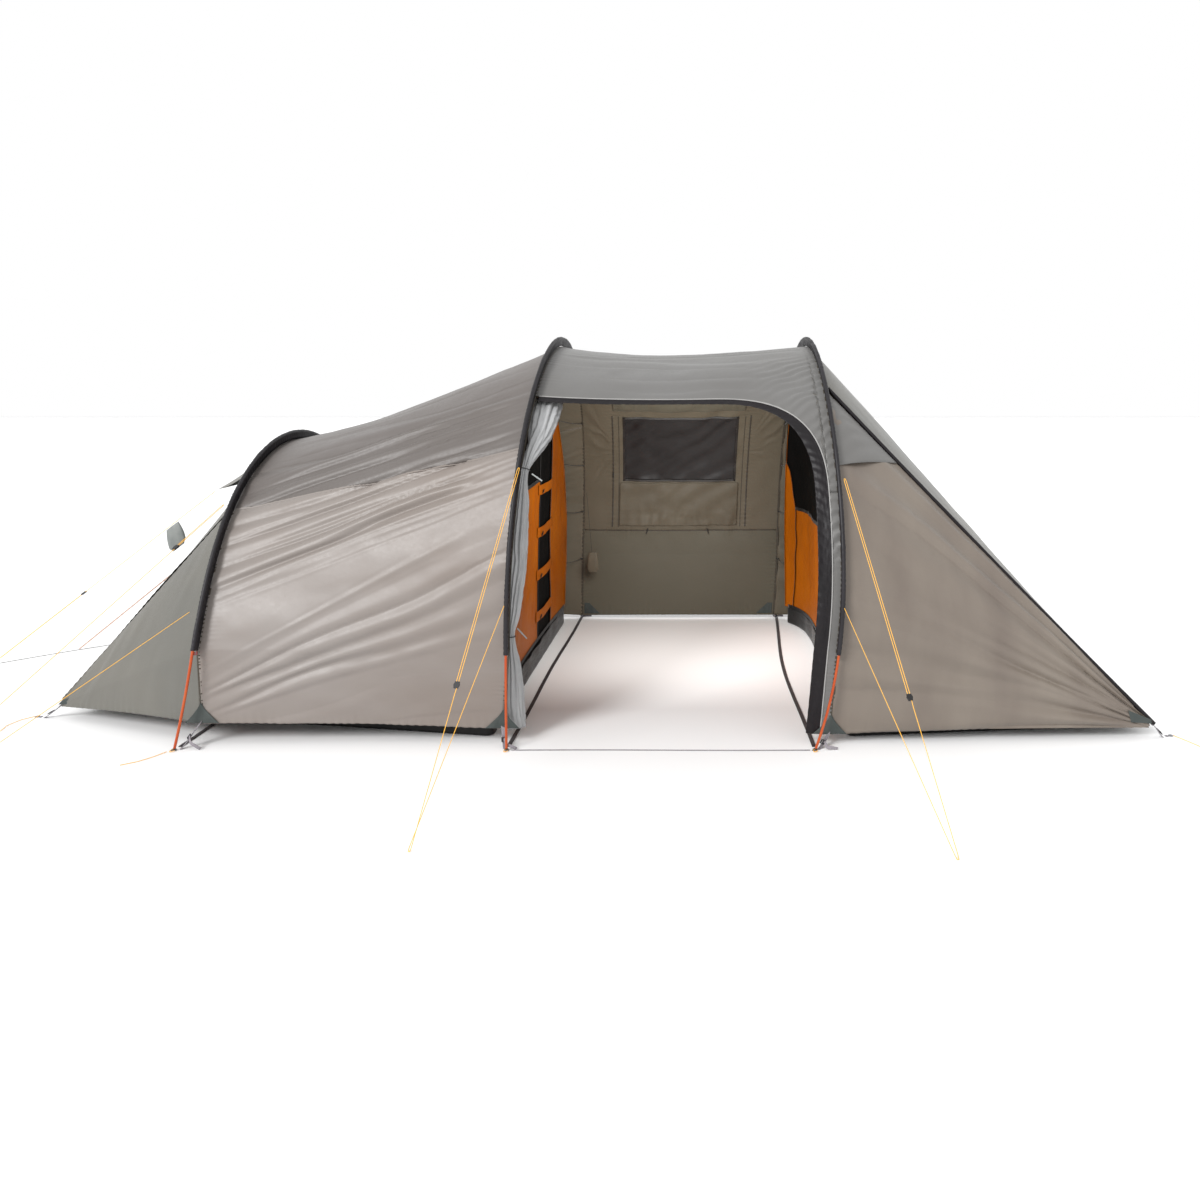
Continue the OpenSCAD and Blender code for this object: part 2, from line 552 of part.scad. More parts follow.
// End panel between the two seams: w runs down from the hoop to the hem
function end_grid(i, v_top, tip, z_hem, bulge, out) =
    [for (w = steps(8, 0, 0.99)) [for (t = steps(8, 0.004, 0.996))
        let(a = fly_at(i, lerp(v_top, 1 - v_top, t)) + [out * (cloth + seam_gap), 0, 0],
            b = [tip[0], lerp(tip[1], -tip[1], t), z_hem + 25 - 25 * sin(180 * t)], q = lerp(a, b, w))
        q + [out * bulge, 0, bulge * 0.5] * sin(180 * w) * sin(180 * t)]];
module left_end_panel() color([0.52, 0.52, 0.49])
    solid(sheet(end_grid(0, left_seam_v + 0.002, left_corner(-1), 70, -20, -1)));
hood_tip = [-2421, 0, 1109];
module left_hood() color([0.4, 0.42, 0.4])
    solid(sheet([for (w = steps(4)) [for (t = steps(6))
        let(a = fly_at(0, lerp(0.36, 0.64, t)) + [-10, 0, 14],
            b = hood_tip + [0, lerp(-14, 14, t), 0])
        lerp(a, b, w) + [0, 0, -26 * sin(180 * w)]]]));

// Right end

function right_corner(y) = [right_corner_x, right_corner_half * y, 60];
module right_side_panels() color([0.62, 0.59, 0.55])
    solid(join([for (y = [-1, 1]) sheet(side_grid(2, right_seam_v, right_corner(y), 7, 1, y))]));
module right_end_panel() color([0.5, 0.5, 0.48])
    solid(sheet(end_grid(2, right_seam_v + 0.003, right_corner(-1), 60, 26, 1)));
// Vent hoods on the upper part of both side panels
module right_hoods() color([0.7, 0.7, 0.68])
    solid(join([for (y = [-1, 1]) sheet([for (w = steps(3)) [for (u = steps(4))
        let(top = right_seam_v - 0.004, off = [8, 6 * y, 0],
            a = fly_side(2, lerp(top, 0.262, w), y) + off,
            seam = lerp(fly_side(2, top, y) + off, right_corner(y) + [0, 6 * y, 8],
                        lerp(0.02, 0.225, w)))
        lerp(a, seam, u) + [4, y * (4 + 22 * sin(180 * u)) * w, 14 * sin(180 * u) * w]]])]));
seam_r = 7;
module right_seams() color([0.08, 0.08, 0.09])
    solid(join([for (y = [-1, 1])
        let(a = fly_side(2, right_seam_v, y) + [22, 11 * y, 12], b = right_corner(y) + [0, 10 * y, 34])
        tube([for (t = steps(6)) lerp(a, b, t) + [0, 0, -12 * sin(180 * t)]], seam_r)]));

// Sleeping cabins: front walls with a mesh upper part, canopies and floor tubs

// Half width of a cabin's front at the height z
function front_half(z) = z < 620 ? lerp(1080, 1170, z / 620) : sqrt(pow(1170, 2) - pow(z - 620, 2));
function front_x(x, t) = x - (x > 0 ? front_flare * pow(max(t, 0), 6) : 0);
function front_grid(x, zs, bow) =
    [for (z = zs) [for (t = [-1, -0.65, -0.3, 0, 0.3, 0.6, 0.8, 0.92, 1])
        [front_x(x, t) + bow * cos(90 * t) * (1 - z / 2000), t * front_half(z), z]]];
module inner_fronts() color([0.8, 0.42, 0.08])
    solid(join([sheet(front_grid(left_front_x, [tub_h + 4, 350, 620, 900, mesh_z], -30)),
                sheet(front_grid(right_front_x, [tub_h + 4, 350, 620, right_mesh_z], 18))]));
module inner_meshes() color([0.09, 0.08, 0.07])
    solid(join([sheet(front_grid(left_front_x, steps(5, mesh_z + 3, 1765), -30)),
                sheet(front_grid(right_front_x, steps(7, right_mesh_z + 3, 1765), 18))]));
// A cabin's section: half width and height at the fraction u of its length
function cabin(x0, x1, half0, half1, top0, top1, belly) =
    [for (u = steps(5)) [for (a = steps(12, 0, 180))
        let(k = pow(u, belly), half = lerp(half0, half1, k), top = lerp(top0, top1, k))
        [lerp(x0, x1, u), -half * pow(abs(cos(a)), 0.7) * sign(cos(a)),
         tub_h + 4 + (top - tub_h) * pow(sin(a), 0.8)]]];
module inner_canopies() color([0.78, 0.42, 0.1])
    solid(join([sheet(cabin(left_front_x - 45, -2480, 1120, 790, 1660, 300, 1.7)),
                sheet(cabin(right_front_x + 30, 2520, 1080, 1000, 1700, 330, 0.9))]));
// A tub: its front is a line of corners from the near side to the far side
module tub(front, x1, half1) {
    s = sign(x1 - front[0][0]);
    difference() {
        linear_extrude(height = tub_h)
            polygon(concat(front, [[x1, half1], [x1, -half1]]));
        translate([0, 0, 2]) linear_extrude(height = tub_h)
            polygon(concat([for (p = front) abs(p[1]) > 1100 ? p + [6 * s, -3 * sign(p[1])] : p + [4 * s, 0]],
                           [[x1 - 3 * s, half1 - 3], [x1 - 3 * s, 3 - half1]]));
    }
}
module inner_floors() color([0.1, 0.1, 0.1]) {
    tub([[left_front_x, -1130], [left_front_x, 1130]], -2500, 800);
    tub([for (y = [-1130, 600, 850, 1000, 1130]) [front_x(right_front_x, y / 1130), y]], 2540, 1010);
}
// Elastic hooks from the cabins' front corners to the hoops
hook_z = [430, 800, 1170, 1500];
module inner_hooks() color([0.12, 0.12, 0.12])
    solid(join([for (i = [1, 2], z = hook_z, y = [-1, 1]) if (i == 2 || y > 0 || z < 1400)
        let(v = fly_z(i, z), e = fly_at(i, y < 0 ? v : 1 - v),
            p = e + unit([e[0], 0, 500] - e) * 12,
            x = front_x(i == 1 ? left_front_x : right_front_x, y),
            q = [x + (i == 1 ? 5 : -5), y * (front_half(z) - 6), z],
            d = unit(q - p))
        tube([p + d * 5, lerp(p, q, 0.5), q - d * 5], 2.5)]));

// Guy lines: each runs from its tensioner up to the sleeve, back down through the
// tensioner to the peg, and up again to the lower loop

left_peg = [-2610, -2450, 3];
left_high = [-1926, -892, 1130];
left_low = [-1915, -1236, 650];
middle_peg = [-502, -2286, 3];
middle_high = [-316, -1186, 1350];
middle_low = [-350, -1362, 710];
right_peg = [1557, -2345, 3];
right_high = [1288, -1222, 1300];
right_low = [1268, -1366, 700];
hood_high = [-2442, 0, 1096];
hood_peg = [-3852, 0, 3];
end_high = [-2262, 50, 960];
end_peg = [-3560, 413, 3];
strand = 5;
// Route of a line with a doubled upper part: t is the tensioner's place on it
function guy_route(high, peg, low, t, side) =
    let(d = unit(peg - high), k = lerp(high, peg, t))
    concat([k + side * strand, high + d * 14 + side * strand, high + side * strand * 0.6,
            high - side * strand * 0.6, high + d * 14 - side * strand, k - side * strand,
            k + d * 40 - side * strand * 0.6, peg - d * 14 - side * strand, peg - side * strand * 0.6],
           [peg + side * strand * 0.6, peg + unit(low - peg) * 14 + side * strand, low]);
left_t = 0.16;
middle_t = 0.63;
right_t = 0.64;
hood_t = 0.577;
end_t = 0.14;
function flat_side(a, b) = unit(cross(b - a, [0, 0, 1]));
module guy_left() color([0.93, 0.72, 0.3])
    solid(tube(guy_route(left_high, left_peg, left_low, left_t, flat_side(left_high, left_peg)),
               line_d / 2));
module guy_middle() color([0.93, 0.72, 0.3])
    solid(tube(guy_route(middle_high, middle_peg, middle_low, middle_t,
                         flat_side(middle_high, middle_peg)), line_d / 2));
module guy_right() color([0.93, 0.72, 0.3])
    solid(tube(guy_route(right_high, right_peg, right_low, right_t,
                         flat_side(right_high, right_peg)), line_d / 2));
// A line that is single down to its tensioner and doubled from there to the peg
function end_route(high, peg, t, side) =
    let(d = unit(peg - high), k = lerp(high, peg, t))
    [high, k - d * 60, k - side * strand, peg - d * 14 - side * strand, peg - side * strand * 0.6,
     peg + side * strand * 0.6, peg - d * 14 + side * strand, k + side * strand];
module guy_hood() color([0.9, 0.62, 0.25])
    solid(tube(end_route(hood_high, hood_peg, hood_t, flat_side(hood_high, hood_peg)), line_d / 2));
module guy_end() color([0.5, 0.35, 0.25])
    solid(tube(end_route(end_high, end_peg, end_t, flat_side(end_high, end_peg)), line_d / 2));
ground_route = [[-2951, 845, 2], [-3100, 760, 2], [-3250, 650, 2], [-3400, 530, 2],
                [-3560, 390, 2], [-3710, 245, 2], [-3880, 70, 2]];
module cord_ground() color([0.1, 0.1, 0.1]) solid(tube(ground_route, line_d / 2));
corner_left_route = [[-2951, -845, 2], [-2990, -900, 2], [-3000, -980, 2], [-2975, -1060, 2]];
corner_right_route = [[2951, -1113, 2], [2990, -1200, 2], [3030, -1300, 2], [3100, -1470, 2]];
foot_left_route = [[-1975, -1325, 3], [-2005, -1385, 2], [-2045, -1440, 2], [-2100, -1480, 2]];
module cord_corner_left() color([0.9, 0.6, 0.25]) solid(tube(corner_left_route, line_d / 2));
module cord_corner_right() color([0.9, 0.6, 0.25]) solid(tube(corner_right_route, line_d / 2));
module cord_foot_left() color([0.93, 0.72, 0.3]) solid(tube(foot_left_route, line_d / 2));

// Line tensioner: a bar with two bores, which slides along the two strands
module tensioner(high, peg, t) {
    d = unit(peg - high);
    k = lerp(high, peg, t);
    side = flat_side(high, peg);
    up = cross(d, side);
    multmatrix([[side[0], up[0], d[0], k[0]], [side[1], up[1], d[1], k[1]],
                [side[2], up[2], d[2], k[2]], [0, 0, 0, 1]]) difference() {
        union() {
            translate([-10, -4, -14]) cube([20, 8, 28]);
            translate([0, 4, 0]) rotate([90, 0, 0]) cylinder(h = 8, r = 13, $fn = 32);
        }
        for (x = [-strand, strand]) translate([x, 0, -20]) cylinder(h = 40, r = 2.9, $fn = 32);
    }
}
module tensioner_left() color([0.08, 0.08, 0.08]) tensioner(left_high, left_peg, left_t);
module tensioner_middle() color([0.08, 0.08, 0.08]) tensioner(middle_high, middle_peg, middle_t);
module tensioner_right() color([0.08, 0.08, 0.08]) tensioner(right_high, right_peg, right_t);
module tensioner_hood() color([0.08, 0.08, 0.08]) tensioner(hood_high, hood_peg, hood_t);
module tensioner_end() color([0.08, 0.08, 0.08]) tensioner(end_high, end_peg, end_t);

// Small pouches: one hangs on the hood's line, one on a cord beside the far wall
pouch_line_at = lerp(hood_high, hood_peg, 0.19);
function pouch(p, along, down, w, h) =
    sheet([for (k = [0:3]) [for (t = steps(3, -1, 1))
        p + along * t * w / 2 * (1 - 0.08 * k * k) + down * (8 + k * h)]], 12);
module pouch_line() color([0.6, 0.62, 0.6])
    solid(pouch(pouch_line_at, unit(hood_peg - hood_high), unit([0.3, 0, -1]), 125, 46));
pouch_hook = [-300, 1150, 950];
pouch_top = [-250, 1125, 520];
module pouch_wall() color([0.3, 0.28, 0.25])
    solid(join([pouch(pouch_top, [1, 0, 0], [0, 0, -1], 85, 48),
                tube([pouch_hook, lerp(pouch_hook, pouch_top, 0.5), pouch_top + [0, 0, -7]], 1.25)]));

pole_left();
pole_middle();
pole_right();
pole_ferrules();
shock_cords();
pole_tips();
foot_eyelets();
peg_eyelets();
sleeve_left();
sleeve_middle();
sleeve_right();
sleeve_straps();
foot_straps();
buckles();
cross_straps();
corner_patches();
main_near_panel();
main_roof();
main_far_panel();
centre_roof();
far_wall();
far_wall_lower();
window_pane();
curtain();
storm_flap();
rolled_door();
left_side_panels();
left_end_panel();
left_hood();
right_side_panels();
right_end_panel();
right_hoods();
right_seams();
wall_zips();
zip_slider();
door_toggle_upper();
door_toggle_lower();
curtain_toggle_left();
curtain_toggle_right();
inner_fronts();
inner_meshes();
inner_canopies();
inner_floors();
inner_hooks();
guy_left();
guy_middle();
guy_right();
guy_hood();
guy_end();
cord_ground();
cord_corner_left();
cord_corner_right();
cord_foot_left();
tensioner_left();
tensioner_middle();
tensioner_right();
tensioner_hood();
tensioner_end();
pouch_line();
pouch_wall();
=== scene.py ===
"""Looks of the three-hoop tunnel tent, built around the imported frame. Metres, +Z up, door side -Y."""
import math
import bpy
import numpy as np
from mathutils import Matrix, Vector


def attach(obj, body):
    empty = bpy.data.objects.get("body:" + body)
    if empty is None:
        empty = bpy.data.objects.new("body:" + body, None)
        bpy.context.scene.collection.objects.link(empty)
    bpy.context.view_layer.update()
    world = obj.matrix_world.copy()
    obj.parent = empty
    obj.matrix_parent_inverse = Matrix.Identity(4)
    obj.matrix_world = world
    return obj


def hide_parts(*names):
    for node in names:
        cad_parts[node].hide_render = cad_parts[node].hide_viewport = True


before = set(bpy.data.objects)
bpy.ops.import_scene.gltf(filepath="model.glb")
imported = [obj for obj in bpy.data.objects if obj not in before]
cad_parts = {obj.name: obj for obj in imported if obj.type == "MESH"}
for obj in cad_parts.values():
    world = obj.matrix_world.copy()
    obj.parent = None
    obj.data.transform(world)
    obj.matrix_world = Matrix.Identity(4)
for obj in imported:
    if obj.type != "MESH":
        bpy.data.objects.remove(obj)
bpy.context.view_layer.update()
PI = math.pi
ALONG, UP = (1, 0, 0), (0, 0, 1)

# ---------------------------------------------------------------- camera and cords

CAMERA_AT, LENS, SHIFT = (0.658, -5.861, 1.784), 28.4, (-0.0967, -0.1833)


def shown(name, data):
    obj = bpy.data.objects.new(name, data)
    bpy.context.collection.objects.link(obj)
    return obj


def make_camera():
    data = bpy.data.cameras.new("camera")
    data.lens = LENS
    data.sensor_width = 36
    data.shift_x, data.shift_y = SHIFT
    data.clip_end = 100
    cam = shown("camera", data)
    cam.location = CAMERA_AT
    cam.rotation_euler = (PI / 2, 0, 0)
    bpy.context.scene.camera = cam


make_camera()

LINE_D = 0.003
STRAND = 0.005


def V(*p):
    return np.array(p, float)


def unit(v):
    return v / max(np.linalg.norm(v), 1e-9)


def unit_rows(v):
    return v / np.maximum(np.linalg.norm(v, axis=-1, keepdims=True), 1e-12)


def lengths(path):
    """Running length at each point of a path."""
    return np.concatenate([[0], np.cumsum(np.linalg.norm(np.diff(path, axis=0), axis=-1))])


def heading(points, k):
    return unit(points[min(k + 1, len(points) - 1)] - points[max(k - 1, 0)])


def across(w, d):
    """Two unit vectors square to d, the first one towards w."""
    a = unit(w - d * (w @ d))
    return a, np.cross(d, a)


def bend(a, b, c, t):
    return a * (1 - t) ** 2 + 2 * b * t * (1 - t) + c * t ** 2


def side_name(y):
    return "near" if y < 0 else "far"


def flat_side(a, b):
    return unit(np.cross(b - a, V(0, 0, 1)))


def guy_route(high, peg, low, t):
    """Up from the tensioner to the sleeve, back through it to the peg, and up to the lower loop."""
    d, k, side = unit(peg - high), high + (peg - high) * t, flat_side(high, peg) * STRAND
    return [k + side, high + d * 0.014 + side, high + side * 0.6, high - side * 0.6,
            high + d * 0.014 - side, k - side, k + d * 0.04 - side * 0.6, peg - d * 0.014 - side,
            peg - side * 0.6, peg + side * 0.6, peg + unit(low - peg) * 0.014 + side, low]


def end_route(high, peg, t):
    """Single down to the tensioner, doubled from there to the peg."""
    d, k, side = unit(peg - high), high + (peg - high) * t, flat_side(high, peg) * STRAND
    return [high, k - d * 0.06, k - side, peg - d * 0.014 - side, peg - side * 0.6,
            peg + side * 0.6, peg - d * 0.014 + side, k + side]


GUYS = {
    "left": dict(high=V(-1.926, -0.892, 1.130), peg=V(-2.610, -2.450, 0.003), low=V(-1.915, -1.236, 0.650), t=0.16),
    "middle": dict(high=V(-0.316, -1.186, 1.350), peg=V(-0.502, -2.286, 0.003), low=V(-0.350, -1.362, 0.710), t=0.63),
    "right": dict(high=V(1.288, -1.222, 1.300), peg=V(1.557, -2.345, 0.003), low=V(1.268, -1.366, 0.700), t=0.64),
    "hood": dict(high=V(-2.442, 0, 1.096), peg=V(-3.852, 0, 0.003), t=0.577),
    "end": dict(high=V(-2.262, 0.050, 0.960), peg=V(-3.560, 0.413, 0.003), t=0.14),
}
ROUTES = {
    "cord_ground": ((-2.951, 0.845, 0.002), (-3.1, 0.76, 0.002), (-3.25, 0.65, 0.002), (-3.4, 0.53, 0.002),
                    (-3.56, 0.39, 0.002), (-3.71, 0.245, 0.002), (-3.88, 0.07, 0.002)),
    "cord_corner_left": ((-2.951, -0.845, 0.002), (-2.99, -0.9, 0.002), (-3.0, -0.98, 0.002),
                         (-2.975, -1.06, 0.002)),
    "cord_corner_right": ((2.951, -1.113, 0.002), (2.99, -1.2, 0.002), (3.03, -1.3, 0.002), (3.1, -1.47, 0.002)),
    "cord_foot_left": ((-1.975, -1.325, 0.003), (-2.005, -1.385, 0.002), (-2.045, -1.44, 0.002),
                       (-2.1, -1.48, 0.002)),
}


def curve_object(name, points, radius, resolution=3):
    data = bpy.data.curves.new(name, "CURVE")
    data.dimensions = "3D"
    spline = data.splines.new("POLY")
    spline.points.add(len(points) - 1)
    for slot, p in zip(spline.points, points):
        slot.co, slot.radius = (*p, 1), radius
    data.bevel_depth = 1
    data.bevel_resolution = resolution
    data.use_fill_caps = True
    return shown(name, data)


def rounded(points, reach=0.006, steps=3):
    """The same route with each of its corners rounded."""
    out = [points[0]]
    for a, b, c in zip(points, points[1:], points[2:]):
        r = min(reach, np.linalg.norm(b - a) * 0.4, np.linalg.norm(c - b) * 0.4)
        p, q = b + unit(a - b) * r, b + unit(c - b) * r
        for k in range(steps + 1):
            out.append(bend(p, b, q, k / steps))
    return out + [points[-1]]


CORDS = []


def make_cord(name, node, points, slot):
    points = rounded([V(*p) for p in points])
    obj = curve_object(name, points, LINE_D / 2)
    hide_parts(node)
    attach(obj, "root")
    CORDS.append((obj, slot))
    return obj


def make_cords():
    for key in ("left", "middle", "right"):
        g = GUYS[key]
        make_cord(f"guy_line_{key}", f"guy_{key}", guy_route(g["high"], g["peg"], g["low"], g["t"]), "line")
    for key, slot in (("hood", "line"), ("end", "line_brown")):
        g = GUYS[key]
        make_cord(f"guy_line_{key}", f"guy_{key}", end_route(g["high"], g["peg"], g["t"]), slot)
    make_cord("ground_cord", "cord_ground", ROUTES["cord_ground"], "line_black")
    for key in ("corner_left", "corner_right", "foot_left"):
        make_cord(f"peg_line_{key}", f"cord_{key}", ROUTES[f"cord_{key}"], "line")


make_cords()

# ---------------------------------------------------------------- the hoops and the fly's own surface

# near foot X, far foot X, radius, centre height, lean, bow
HOOPS = [(-1.954, -1.954, 1.305, 0.160, 0.005, 0.075),
         (-0.352, -0.352, 1.345, 0.693, 0.060, 0.0),
         (1.135, 1.112, 1.345, 0.693, 0.069, 0.122)]
FOOT_HALF, SLEEVE_END, FLY_DROP = 1.300, 0.470, 0.048
HEM_HALF = 1.235
HEM_X = [(-1.852, -1.870), (-0.385, -0.345), (1.212, 1.090)]
HEM_Z = [(0.105, 0.090), (0.080, 0.022), (0.052, 0.025)]
BOW_PEAK = (6 / 7) ** 6 / 7
RIDGE_SAG, WALL_SAG = 0.058, 0.016
LEFT_CORNER, RIGHT_CORNER = (-2.800, 0.871), (2.835, 1.148)
LEFT_SEAM_V, RIGHT_SEAM_V = 0.29, 0.352
DOOR_V, DOOR_CORNER_V, DOOR_U, DOOR_CURVE_U, DOOR_POWER = 0.343, 0.237, 0.972, 0.6, 2.5
WALL_V, SEAM_V, MAIN_SEAM_V = 0.66, 0.869, 0.28
WIN_U, WIN_V = (0.205, 0.767), (0.702, 0.80)
U_SCALE, V_SCALE = 1.59, 5.83


def leg_angle(h):
    return math.atan2(h[3], FOOT_HALF) - math.acos(h[2] / math.hypot(FOOT_HALF, h[3]))


def leg_len(h):
    a = leg_angle(h)
    return math.hypot(FOOT_HALF - h[2] * math.cos(a), h[3] - h[2] * math.sin(a))


def hoop_len(h):
    return h[2] * (PI + 2 * leg_angle(h)) + 2 * leg_len(h)


def hoop_x(h, s):
    return h[0] + (h[1] - h[0]) * s + h[4] * np.sin(PI * s) ** 2 + h[5] * s * (1 - s) ** 6 / BOW_PEAK


def hoop_at(h, s, d=0.0):
    """Point at the fraction s of the hoop's length, moved in by d from the pole's centre."""
    s = np.asarray(s, float)
    near = np.minimum(s, 1 - s)
    a, leg = leg_angle(h), leg_len(h)
    run = near * hoop_len(h)
    knee_y, knee_z = h[2] * math.cos(a), h[3] - h[2] * math.sin(a)
    t = np.clip(run / max(leg, 1e-9), 0, 1)
    b = (run - leg) / h[2] - a
    on_leg = run < leg
    y = np.where(on_leg, -(FOOT_HALF + (knee_y - FOOT_HALF) * t) + d * math.cos(a), -(h[2] - d) * np.cos(b))
    z = np.where(on_leg, knee_z * t + d * math.sin(a), h[3] + (h[2] - d) * np.sin(b))
    return np.stack([hoop_x(h, s), np.where(s > 0.5, -y, y), z], -1)


def hoop_s(h, z):
    """Fraction of the hoop's length at the height z on its near side."""
    a = leg_angle(h)
    if z < h[3] - h[2] * math.sin(a):
        return z / math.cos(a) / hoop_len(h)
    return (leg_len(h) + h[2] * (math.asin((z - h[3]) / h[2]) + a)) / hoop_len(h)


def fly_at(i, v):
    v = np.asarray(v, float)
    h = HOOPS[i]
    s0 = hoop_s(h, SLEEVE_END)
    arc = hoop_at(h, s0 + (1 - 2 * s0) * np.clip((v - 0.1) / 0.8, 0, 1), FLY_DROP)
    near = V(HEM_X[i][0], -HEM_HALF, HEM_Z[i][0])
    far = V(HEM_X[i][1], HEM_HALF, HEM_Z[i][1])
    a, b = hoop_at(h, s0, FLY_DROP), hoop_at(h, 1 - s0, FLY_DROP)
    low = near + (a - near) * np.clip(v / 0.1, 0, 1)[..., None]
    high = far + (b - far) * np.clip((1 - v) / 0.1, 0, 1)[..., None]
    return np.where((v < 0.1)[..., None], low, np.where((v > 0.9)[..., None], high, arc))


def fly_z(i, z):
    s0 = hoop_s(HOOPS[i], SLEEVE_END)
    return 0.1 + 0.8 * (hoop_s(HOOPS[i], z) - s0) / (1 - 2 * s0)


def inward(p):
    d = np.stack([0 * p[..., 0], -p[..., 1], 0.5 - p[..., 2]], -1)
    return unit_rows(d)


def fly(i, u, v):
    """Point of the fly between hoop i and the next; u and v are arrays of one shape."""
    u, v = np.broadcast_arrays(np.asarray(u, float), np.asarray(v, float))
    p = fly_at(i, v) * (1 - u)[..., None] + fly_at(i + 1, v) * u[..., None]
    sag = np.sin(PI * np.clip(u, 0, 1) ** 0.8) * (WALL_SAG + (RIDGE_SAG - WALL_SAG) * np.sin(PI * v) ** 12)
    return p + inward(p) * sag[..., None]


# ---------------------------------------------------------------- meshes

def noise(x, y, scale, seed):
    """Smooth value noise from -1 to 1, with cells of the given size in metres."""
    table = np.random.default_rng(seed).uniform(-1, 1, (64, 64))
    x, y = np.asarray(x) / scale, np.asarray(y) / scale
    x0, y0 = np.floor(x).astype(int), np.floor(y).astype(int)
    fx, fy = x - x0, y - y0
    fx, fy = fx * fx * (3 - 2 * fx), fy * fy * (3 - 2 * fy)
    at = lambda i, j: table[(x0 + i) % 64, (y0 + j) % 64]
    return (at(0, 0) * (1 - fx) + at(1, 0) * fx) * (1 - fy) + (at(0, 1) * (1 - fx) + at(1, 1) * fx) * fy


def normals(g):
    return unit_rows(np.cross(np.gradient(g, axis=0), np.gradient(g, axis=1)))


def new_mesh(name, verts, faces, mats, face_mat=None, uvs=None, smooth=True):
    mesh = bpy.data.meshes.new(name)
    mesh.from_pydata([tuple(v) for v in verts], [], [tuple(int(k) for k in f) for f in faces])
    for m in mats:
        mesh.materials.append(m)
    if face_mat is not None:
        mesh.polygons.foreach_set("material_index", np.asarray(face_mat, np.int32))
    if uvs is not None:
        layer = mesh.uv_layers.new(name="UVMap")
        loops = np.zeros(len(mesh.loops), np.int32)
        mesh.loops.foreach_get("vertex_index", loops)
        layer.data.foreach_set("uv", np.asarray(uvs, np.float32)[loops].ravel())
    if smooth:
        mesh.polygons.foreach_set("use_smooth", np.ones(len(mesh.polygons), bool))
    mesh.update()
    return shown(name, mesh)


def grid_uv(g):
    """Lengths along the rows and columns of a grid, in metres."""
    du = np.linalg.norm(np.diff(g, axis=1), axis=-1)
    dv = np.linalg.norm(np.diff(g, axis=0), axis=-1)
    u = np.concatenate([np.zeros((len(g), 1)), np.cumsum(du, 1)], 1)
    v = np.concatenate([np.zeros((1, g.shape[1])), np.cumsum(dv, 0)], 0)
    return np.stack([u, v], -1)


def cloth(name, g, mats, thick=0.0009, keep=None, outside=1, uv=None):
    """A closed thin sheet through a grid of points; keep masks its cells, outside is the sign of its outer side."""
    m, n = g.shape[:2]
    nor = normals(g) * (thick / 2)
    verts = np.concatenate([(g + nor * outside).reshape(-1, 3), (g - nor * outside).reshape(-1, 3)])
    keep = np.ones((m - 1, n - 1), bool) if keep is None else keep
    i, j = np.nonzero(keep)
    a = i * n + j
    b, d, e = a + n, a + 1, a + n + 1
    low = m * n
    turn = outside > 0
    up = np.stack([a, b, e, d] if turn else [a, d, e, b], 1)
    down = np.stack([a, d, e, b] if turn else [a, b, e, d], 1) + low
    faces, which = [up, down], [np.zeros(len(up)), np.full(len(down), 1 if len(mats) > 1 else 0)]
    pad = np.pad(keep, 1)
    for di, dj, p, q in ((-1, 0, a, d), (1, 0, e, b), (0, -1, b, a), (0, 1, d, e)):
        edge = ~pad[1 + i + di, 1 + j + dj]
        p, q = p[edge], q[edge]
        rim = np.stack([p, q, q + low, p + low] if turn else [q, p, p + low, q + low], 1)
        faces.append(rim)
        which.append(np.zeros(len(rim)))
    faces, which = np.concatenate(faces), np.concatenate(which)
    used = np.unique(faces)
    index = np.full(len(verts), -1)
    index[used] = np.arange(len(used))
    uv = grid_uv(g) if uv is None else uv
    uv = np.concatenate([uv.reshape(-1, 2)] * 2)[used]
    return new_mesh(name, verts[used], index[faces], mats, which, uv)


def tube_mesh(name, points, radii, mat, sides=12, squash=1.0, up=(0, 0, 1)):
    """A closed tube along points; radii is one number or one for each point."""
    points = np.asarray(points, float)
    radii = np.broadcast_to(radii, len(points))
    rings = []
    for k, p in enumerate(points):
        d = heading(points, k)
        ref = V(*up) if abs(d @ V(*up)) < 0.95 else V(1, 0, 0)
        a = unit(np.cross(ref, d))
        b = np.cross(d, a)
        ang = 2 * PI * np.arange(sides) / sides
        rings.append(p + radii[k] * (np.cos(ang)[:, None] * a + squash * np.sin(ang)[:, None] * b))
    return skin(name, np.array(rings), mat)


def skin(name, rings, mat):
    m, n = rings.shape[:2]
    faces = [(k * n + j, k * n + (j + 1) % n, (k + 1) * n + (j + 1) % n, (k + 1) * n + j)
             for k in range(m - 1) for j in range(n)]
    verts = np.concatenate([rings.reshape(-1, 3), rings[:1].mean(1), rings[-1:].mean(1)])
    faces += [((j + 1) % n, j, m * n) for j in range(n)]
    faces += [((m - 1) * n + j, (m - 1) * n + (j + 1) % n, m * n + 1) for j in range(n)]
    arc = lengths(rings.mean(1))
    around = np.linspace(0, np.linalg.norm(rings[0, 0] - rings[0, 1]) * n, n)
    uv = np.stack(np.meshgrid(around, arc), -1).reshape(-1, 2)
    uv = np.concatenate([uv, [[0, 0], [0, arc[-1]]]])
    return new_mesh(name, verts, faces, [mat], None, uv)


def strap_mesh(name, points, width, thick, wide, mat):
    """Flat webbing along points, its width along wide, with slightly raised edges."""
    rings = []
    for k, p in enumerate(points):
        d = heading(points, k)
        a, b = across(V(*wide) if np.ndim(wide) == 1 else wide[k], d)
        section = [(-1, -1), (-0.9, -1.05), (0, -0.85), (0.9, -1.05), (1, -1),
                   (1, 1), (0.9, 1.05), (0, 0.85), (-0.9, 1.05), (-1, 1)]
        rings.append([p + a * x * width / 2 + b * y * thick / 2 for x, y in section])
    return skin(name, np.array(rings), mat)


